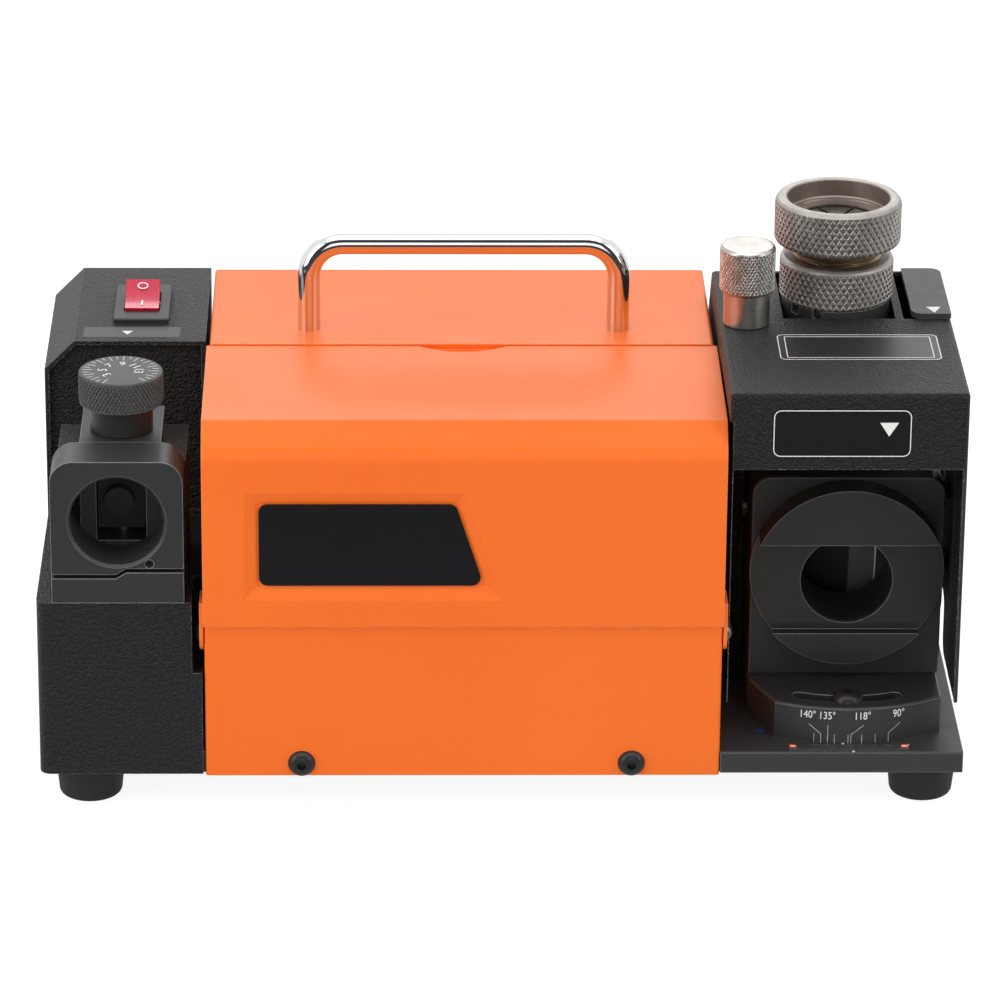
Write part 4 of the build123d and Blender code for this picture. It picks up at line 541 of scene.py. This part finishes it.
# the room lights the object softly, is white to the camera, and dim in polished metal on the camera's side
skySet = {"fill": 0.42, "dark": 0.05, "seen": 1.0, "slant": 0.6, "dimStops": [(0.02, 0.0), (0.26, 1.0)]}
sky = Graph(world.node_tree)
straight, mirrored = sky.seen()
heading = sky.add("ShaderNodeSeparateXYZ", None, {0: sky.output(sky.add("ShaderNodeTexCoord"), "Generated")})
facing = sky.output(heading, "Y") * -1 - sky.output(heading, "Z") * skySet["slant"]
dimSide = sky.ramp(facing, skySet["dimStops"])
backFill, backDark, backSeen = (
    sky.lit("ShaderNodeBackground", skySet[part]) for part in ("fill", "dark", "seen"))
backMirror = sky.mixShaders(dimSide, backSeen, backDark)
sky.feed(world.node_tree.nodes["World Output"].inputs["Surface"],
         sky.mixShaders(straight, sky.mixShaders(mirrored, backFill, backMirror), backSeen))

# polished metal shows the bright floor behind the object, and the dim floor before it
floorSet = {"size": 6, "color": grey(236), "roughness": 0.8, "specular": 0.1, "shade": grey(150),
            "glow": 0.9, "dim": 0.06, "reach": (-0.3, 0.05)}
floorWork = bmesh.new()
bmesh.ops.create_grid(floorWork, x_segments=1, y_segments=1, size=floorSet["size"])
floor = bpy.data.objects.new("floor", meshFrom("floor", floorWork, False))
bpy.context.collection.objects.link(floor)
floorLook = Look("paleFloor", floorSet["color"], Roughness=floorSet["roughness"],
                 Specular_IOR_Level=floorSet["specular"])
straight, mirrored = floorLook.seen()
floorGlow, floorDim = (floorLook.lit("ShaderNodeEmission", floorSet[part]) for part in ("glow", "dim"))
floorShade = floorLook.output(floorLook.add("ShaderNodeBsdfDiffuse", None, {"Color": floorSet["shade"]}))
floorSeen = floorLook.output(floorLook.add("ShaderNodeAddShader", None, {0: floorShade, 1: floorGlow}))
brightFloor = floorLook.output(floorLook.add("ShaderNodeMapRange", None, {
    "Value": floorLook.axis("Y"), "From Min": floorSet["reach"][0], "From Max": floorSet["reach"][1]}), "Result")
floorMirror = floorLook.mixShaders(brightFloor, floorDim, floorGlow)
floorPlain = floorLook.mixShaders(mirrored, floorLook.output(floorLook.shader), floorMirror)
floorLook.feed(floorLook.tree.nodes["Material Output"].inputs["Surface"],
               floorLook.mixShaders(straight, floorPlain, floorSeen))
floor.data.materials.append(floorLook.material)
print("camera, lamps and floor placed")


def inMillimetres(node):
    # axis in metres, then bottom, top and radius in millimetres, of an upright turned node
    low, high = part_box(node)
    return ((low[0] + high[0]) / 2, (low[1] + high[1]) / 2, 0), low[2] / mm, high[2] / mm, (high[0] - low[0]) / 2 / mm


chuckAxis, nutBottom, nutTop, nutRadius = inMillimetres("chuck_nut")
closingNut = {
    "axis": chuckAxis, "steps": 560, "rings": 44,
    "outline": scaled([
        (15.65, nutBottom), (nutRadius - 1.4, nutBottom), (nutRadius - 0.5, nutBottom + 0.5),
        (nutRadius, nutBottom + 1.3), (nutRadius, nutTop - 2.1), (nutRadius - 0.3, nutTop - 1.2),
        (nutRadius - 1.0, nutTop - 0.35), (nutRadius - 2.0, nutTop), (18.4, nutTop - 0.1), (18.0, nutTop - 0.5),
        (17.9, nutTop - 6.2), (17.3, nutTop - 6.6), (16.4, nutTop - 6.7), (16.2, nutTop - 7.2),
        (13.0, nutTop - 7.4), (13.0, nutTop - 7.9), (15.65, nutTop - 7.9)]),
    "bands": [{"kind": "knurl", "radius": nutRadius * mm, "low": (nutBottom + 1.3) * mm,
               "high": (nutTop - 2.1) * mm, "count": 58, "pitch": 3.8 * mm, "depth": 0.5 * mm, "flat": 2.0}],
    "lined": {"radius": 18.2 * mm, "low": nutBottom * mm, "high": (nutTop - 0.3) * mm, "finish": "boreBronze"},
}
turnedRing("chuckNutKnurled", closingNut, ("closing_nut", finishes["knurled_steel"], "knurled_steel"), "chuck_nut")

bodyBottom, bodyTop, ringRadius = inMillimetres("chuck_body")[1:]
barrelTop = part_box("relief_barrel")[1][2] / mm
ringTop = barrelTop + 15.0
chuckBody = {
    "axis": chuckAxis, "steps": 512, "rings": 72,
    "outline": scaled([
        (11.2, bodyBottom), (15.5, bodyBottom), (16.0, bodyBottom + 0.5), (16.0, barrelTop),
        (ringRadius - 1.2, barrelTop), (ringRadius - 0.4, barrelTop + 0.4), (ringRadius, barrelTop + 1.1),
        (ringRadius, ringTop - 1.5), (ringRadius - 0.4, ringTop - 0.6), (ringRadius - 1.3, ringTop),
        (15.6, ringTop), (15.6, bodyTop), (13.6, bodyTop), (13.6, 153.0), (11.2, 148.0)]),
    "bands": [
        {"kind": "knurl", "radius": ringRadius * mm, "low": (barrelTop + 1.1) * mm,
         "high": (ringTop - 1.5) * mm, "count": 52, "pitch": 3.8 * mm, "depth": 0.5 * mm, "flat": 2.0},
        {"kind": "thread", "radius": 15.6 * mm, "low": ringTop * mm, "high": bodyTop * mm,
         "pitch": 1.3 * mm, "depth": 0.6 * mm}],
    "lined": {"radius": 15.7 * mm, "low": ringTop * mm, "high": (bodyTop + 1) * mm, "finish": "threadBrass"},
}
turnedRing("chuckBodyKnurled", chuckBody, ("chuck", finishes["knurled_steel"], "knurled_steel"), "chuck_body")

knobAxis, knobBottom, knobTop, knobRadius = inMillimetres("cover_knob")
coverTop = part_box("wheel_cover")[1][2] / mm
stemTop = knobTop - 16.7
handKnob = {
    "axis": knobAxis, "steps": 384, "rings": 60,
    "outline": scaled([
        (0.05, knobBottom), (3.0, knobBottom), (3.0, coverTop + 0.05), (7.8, coverTop + 0.05),
        (8.1, coverTop + 0.35), (8.1, stemTop - 0.6), (7.6, stemTop), (8.9, stemTop + 0.05),
        (9.4, stemTop + 0.4), (knobRadius, stemTop + 1.0), (knobRadius, knobTop - 1.5),
        (9.5, knobTop - 0.9), (8.8, knobTop - 0.15), (8.0, knobTop), (0.05, knobTop)]),
    "bands": [{"kind": "knurl", "radius": knobRadius * mm, "low": (stemTop + 1.0) * mm,
               "high": (knobTop - 1.5) * mm, "count": 44, "pitch": 2.2 * mm, "depth": 0.3 * mm, "flat": 2.1}],
}
turnedRing("handKnobKnurled", handKnob, ("hand_knob", extras["knobSteel"], "knurled_steel"), "cover_knob")

dialAxis, dialBottom, dialTop, dialRadius = inMillimetres("dial_knob")
dialStep = dialTop - 11.2
dialKnob = {
    "axis": dialAxis, "steps": 476, "rings": 48,
    "outline": scaled([
        (4.05, dialBottom), (10.4, dialBottom), (10.8, dialBottom + 0.4), (10.8, dialStep),
        (dialRadius - 1.0, dialStep), (dialRadius - 0.3, dialStep + 0.3), (dialRadius, dialStep + 0.9),
        (dialRadius, dialTop - 0.9), (dialRadius - 0.3, dialTop - 0.3), (dialRadius - 0.9, dialTop),
        (0.05, dialTop), (0.05, dialBottom + 6.2), (4.05, dialBottom + 6.2)]),
    "bands": [{"kind": "knurl", "radius": dialRadius * mm, "low": (dialStep + 0.9) * mm,
               "high": (dialTop - 0.9) * mm, "count": 64, "pitch": 2.3 * mm, "depth": 0.6 * mm, "flat": 1.3}],
}
turnedRing("dialKnurled", dialKnob, ("dial", extras["darkKnurl"], "anodised_grey"), "dial_knob")
print("knurled rings turned")

# the dial's numbers count on round its top from the one at the back
dialMarks = {"numbers": (3, 5, 7, 9, 11, 13), "backNumber": 9, "back": 87.0, "perUnit": 22.5, "size": 4.6,
             "numberRadius": 6.1, "lift": 0.05, "first": 2.0, "last": 15.0, "step": 0.5, "line": 0.22,
             "tickInner": 9.6, "shortInner": 11.0, "tickOuter": 13.1}
dialInk = ("dial", extras["whiteInk"], "anodised_grey")


def dialAngle(number):
    return dialMarks["back"] - (number - dialMarks["backNumber"]) * dialMarks["perUnit"]


for number in dialMarks["numbers"]:
    angle = dialAngle(number)
    x = dialAxis[0] + dialMarks["numberRadius"] * mm * math.cos(math.radians(angle))
    y = dialAxis[1] + dialMarks["numberRadius"] * mm * math.sin(math.radians(angle))
    spot = level(x, y, (dialTop + dialMarks["lift"]) * mm, angle - 90)
    addText("dialNumber" + str(number), str(number), dialMarks["size"] * mm, spot, dialInk)
half = dialMarks["line"] / 2
outer = dialMarks["tickOuter"]
for count in range(int((dialMarks["last"] - dialMarks["first"]) / dialMarks["step"]) + 1):
    tick = dialMarks["first"] + count * dialMarks["step"]
    inner = dialMarks["tickInner"] if tick == int(tick) else dialMarks["shortInner"]
    flatShape("dialTick" + str(int(tick * 2)),
              scaled([(inner, -half), (outer, -half), (outer, half), (inner, half)]),
              level(dialAxis[0], dialAxis[1], dialTop * mm, dialAngle(tick)), dialInk)

# point angles on the front of the swivel's sector, the crowded ones drawn aside by leaning lines
scaleMarks = {"values": (145, 140, 135, 130, 120, 118, 110, 100, 90), "middle": 118, "zero": 0.84,
              "radius": 54.6, "proud": 0.03, "numberProud": 0.1, "low": 0.2, "high": 3.6, "lead": 7.1,
              "longest": 135, "line": 0.22, "strokeSteps": 6, "shift": {140: -4.3, 118: 4.3, 90: 4.3},
              "labels": {140: -15.2, 135: -8.0, 118: 4.9, 90: 18.6}, "labelHeight": 10.6, "size": 4.0, "narrow": 0.8}
scaleInk = ("swivel_unit", extras["whiteInk"], "anodised_grey")
pivot = joints["angle_swivel"]["pos_m"]
arcRadius = scaleMarks["radius"] * mm
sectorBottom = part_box("swivel_base")[0][2]


def onArc(angle, height, proud):
    turn = math.radians(angle)
    reach = arcRadius + proud * mm
    return Vector((pivot[0] + reach * math.sin(turn), pivot[1] - reach * math.cos(turn), height))


def arcLine(name, first, second):
    # a thin stroke between two (angle, height) points on the arc
    work = bmesh.new()
    previous = None
    slope = Vector(((second[0] - first[0]) * math.radians(1) * arcRadius, second[1] - first[1]))
    side = Vector((-slope.y, slope.x)).normalized() * scaleMarks["line"] * mm / 2
    wide = math.degrees(side.x / arcRadius)
    for step in range(scaleMarks["strokeSteps"] + 1):
        share = step / scaleMarks["strokeSteps"]
        angle = first[0] + (second[0] - first[0]) * share
        height = first[1] + (second[1] - first[1]) * share
        ends = [work.verts.new(onArc(angle - wide, height - side.y, scaleMarks["proud"])),
                work.verts.new(onArc(angle + wide, height + side.y, scaleMarks["proud"]))]
        if previous:
            work.faces.new((previous[0], previous[1], ends[1], ends[0]))
        previous = ends
    bmesh.ops.solidify(work, geom=work.faces[:], thickness=scaleMarks["proud"] * mm)
    finishPiece(name, meshFrom(name, work), scaleInk)


low, high, lead = (sectorBottom + scaleMarks[part] * mm for part in ("low", "high", "lead"))
for value in scaleMarks["values"]:
    angle = scaleMarks["zero"] + (scaleMarks["middle"] - value) / 2
    top = lead if value == scaleMarks["longest"] else high
    arcLine("scaleTick" + str(value), (angle, low), (angle, top))
    if value in scaleMarks["shift"]:
        lean = math.degrees(scaleMarks["shift"][value] * mm / arcRadius)
        arcLine("scaleLead" + str(value), (angle, top), (angle + lean, lead))
for value, angle in scaleMarks["labels"].items():
    spot = onArc(angle, sectorBottom + scaleMarks["labelHeight"] * mm, scaleMarks["numberProud"])
    addText("scaleNumber" + str(value), str(value) + "°", scaleMarks["size"] * mm, upright(*spot, angle),
            scaleInk, scaleMarks["proud"] * mm, scaleMarks["narrow"])
print("scales marked")

rockerMarks = {"tilt": 17.0, "lift": 4.6, "along": 5.0, "ring": 1.95, "segments": 40, "stroke": 0.5,
               "ringThickness": 0.1, "bar": (0.38, 1.3)}
rockerInk = ("rocker", extras["whiteInk"], "rocker_red")


def onRocker(along):
    tilt = math.radians(rockerMarks["tilt"])
    centre = Vector(joints["rocker_pivot"]["pos_m"])
    along, lift = along * mm, rockerMarks["lift"] * mm
    move = Vector((0, math.cos(tilt) * along - math.sin(tilt) * lift, math.sin(tilt) * along + math.cos(tilt) * lift))
    return Matrix.Translation(centre + move) @ Matrix.Rotation(tilt, 4, "X")


ringWork = bmesh.new()
bmesh.ops.create_circle(ringWork, segments=rockerMarks["segments"], radius=rockerMarks["ring"] * mm, cap_ends=True)
bmesh.ops.inset_region(ringWork, faces=ringWork.faces[:], thickness=rockerMarks["stroke"] * mm, use_boundary=True)
middle = max(ringWork.faces, key=lambda face: len(face.verts))
bmesh.ops.delete(ringWork, geom=[middle], context="FACES_ONLY")
layFlat("rockerOff", ringWork, onRocker(rockerMarks["along"]), rockerInk, rockerMarks["ringThickness"] * mm)
wide, deep = rockerMarks["bar"]
flatShape("rockerOn", scaled([(-wide, -deep), (wide, -deep), (wide, deep), (-wide, deep)]),
          onRocker(-rockerMarks["along"]), rockerInk)

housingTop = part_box("left_housing")[1][2]
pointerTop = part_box("relief_pointer_plate")[1][2]
coverLow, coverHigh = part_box("wheel_cover")
coverInk = ("base", extras["whiteInk"], "crackle_black")
coverFilm = ("base", extras["labelFilm"], "crackle_black")
arrows = {
    "arrowSetting": {"place": level(-0.1311, 0.0098, housingTop), "size": (3.9, 3.4)},
    "arrowRelief": {"place": level(0.1515, -0.0012, pointerTop), "size": (5.0, 5.6)},
    "arrowPoint": {"place": upright(0.1301, coverLow[1] - 0.15 * mm, 0.1434), "size": (6.4, 5.0)},
}
for name, arrow in arrows.items():
    wide, deep = arrow["size"]
    flatShape(name, scaled([(-wide / 2, deep / 2), (0, -deep / 2), (wide / 2, deep / 2)]), arrow["place"], coverInk)

labels = {
    "topLabel": {"place": level(0.1228, -0.0326, coverHigh[2]),
                 "size": (56.0, 24.6), "radius": 2.4, "lines": (0.0, 2.4)},
    "apronLabel": {"place": upright(0.11425, coverLow[1], 0.1419),
                   "size": (47.2, 17.4), "radius": 2.6, "lines": (0.0,)},
}
labelLine = {"margin": 0.5, "squeeze": 1.6, "least": 0.5, "width": 0.32, "lift": 0.05, "thickness": 0.06}
for name, label in labels.items():
    wide, deep = label["size"]
    flatShape(name, scaled(roundedCorners(wide, deep, label["radius"])), label["place"], coverFilm,
              labelLine["thickness"] * mm)
    lineSpot = label["place"] @ Matrix.Translation((0, 0, labelLine["lift"] * mm))
    for step, inset in enumerate(label["lines"]):
        flatLoop(name + "Line" + str(step), (wide - labelLine["margin"] - 2 * inset) * mm,
                 (deep - labelLine["margin"] - inset * labelLine["squeeze"]) * mm,
                 max(labelLine["least"], label["radius"] - inset) * mm, labelLine["width"] * mm,
                 lineSpot, coverInk, labelLine["thickness"] * mm)
settingLabel = {"place": level(-0.1295, 0.0105, housingTop), "size": (34.0, 10.0), "radius": 0.6, "thickness": 0.03}
flatShape("settingLabel", scaled(roundedCorners(*settingLabel["size"], settingLabel["radius"])),
          settingLabel["place"], coverFilm, settingLabel["thickness"] * mm)
print("labels and arrows laid")

# index dots on the two plates, and the small blue dot
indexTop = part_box("index_plate")[1][2]
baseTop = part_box("base_plate")[1][2]
dots = {
    "indexDot": {"spot": (0.1219, -0.0759, baseTop), "radius": 0.55, "ink": "whiteInk"},
    "indexDotLeft": {"spot": (0.1186, -0.0702, indexTop), "radius": 0.45, "ink": "whiteInk"},
    "blueDot": {"spot": (0.0905, -0.0588, baseTop), "radius": 1.5, "ink": "blueDot"},
}
dotSides = 16
for name, dot in dots.items():
    turns = [2 * math.pi * side / dotSides for side in range(dotSides)]
    flatShape(name, scaled([(dot["radius"] * math.cos(turn), dot["radius"] * math.sin(turn)) for turn in turns]),
              level(*dot["spot"]), ("base", extras[dot["ink"]], "plate_grey"))
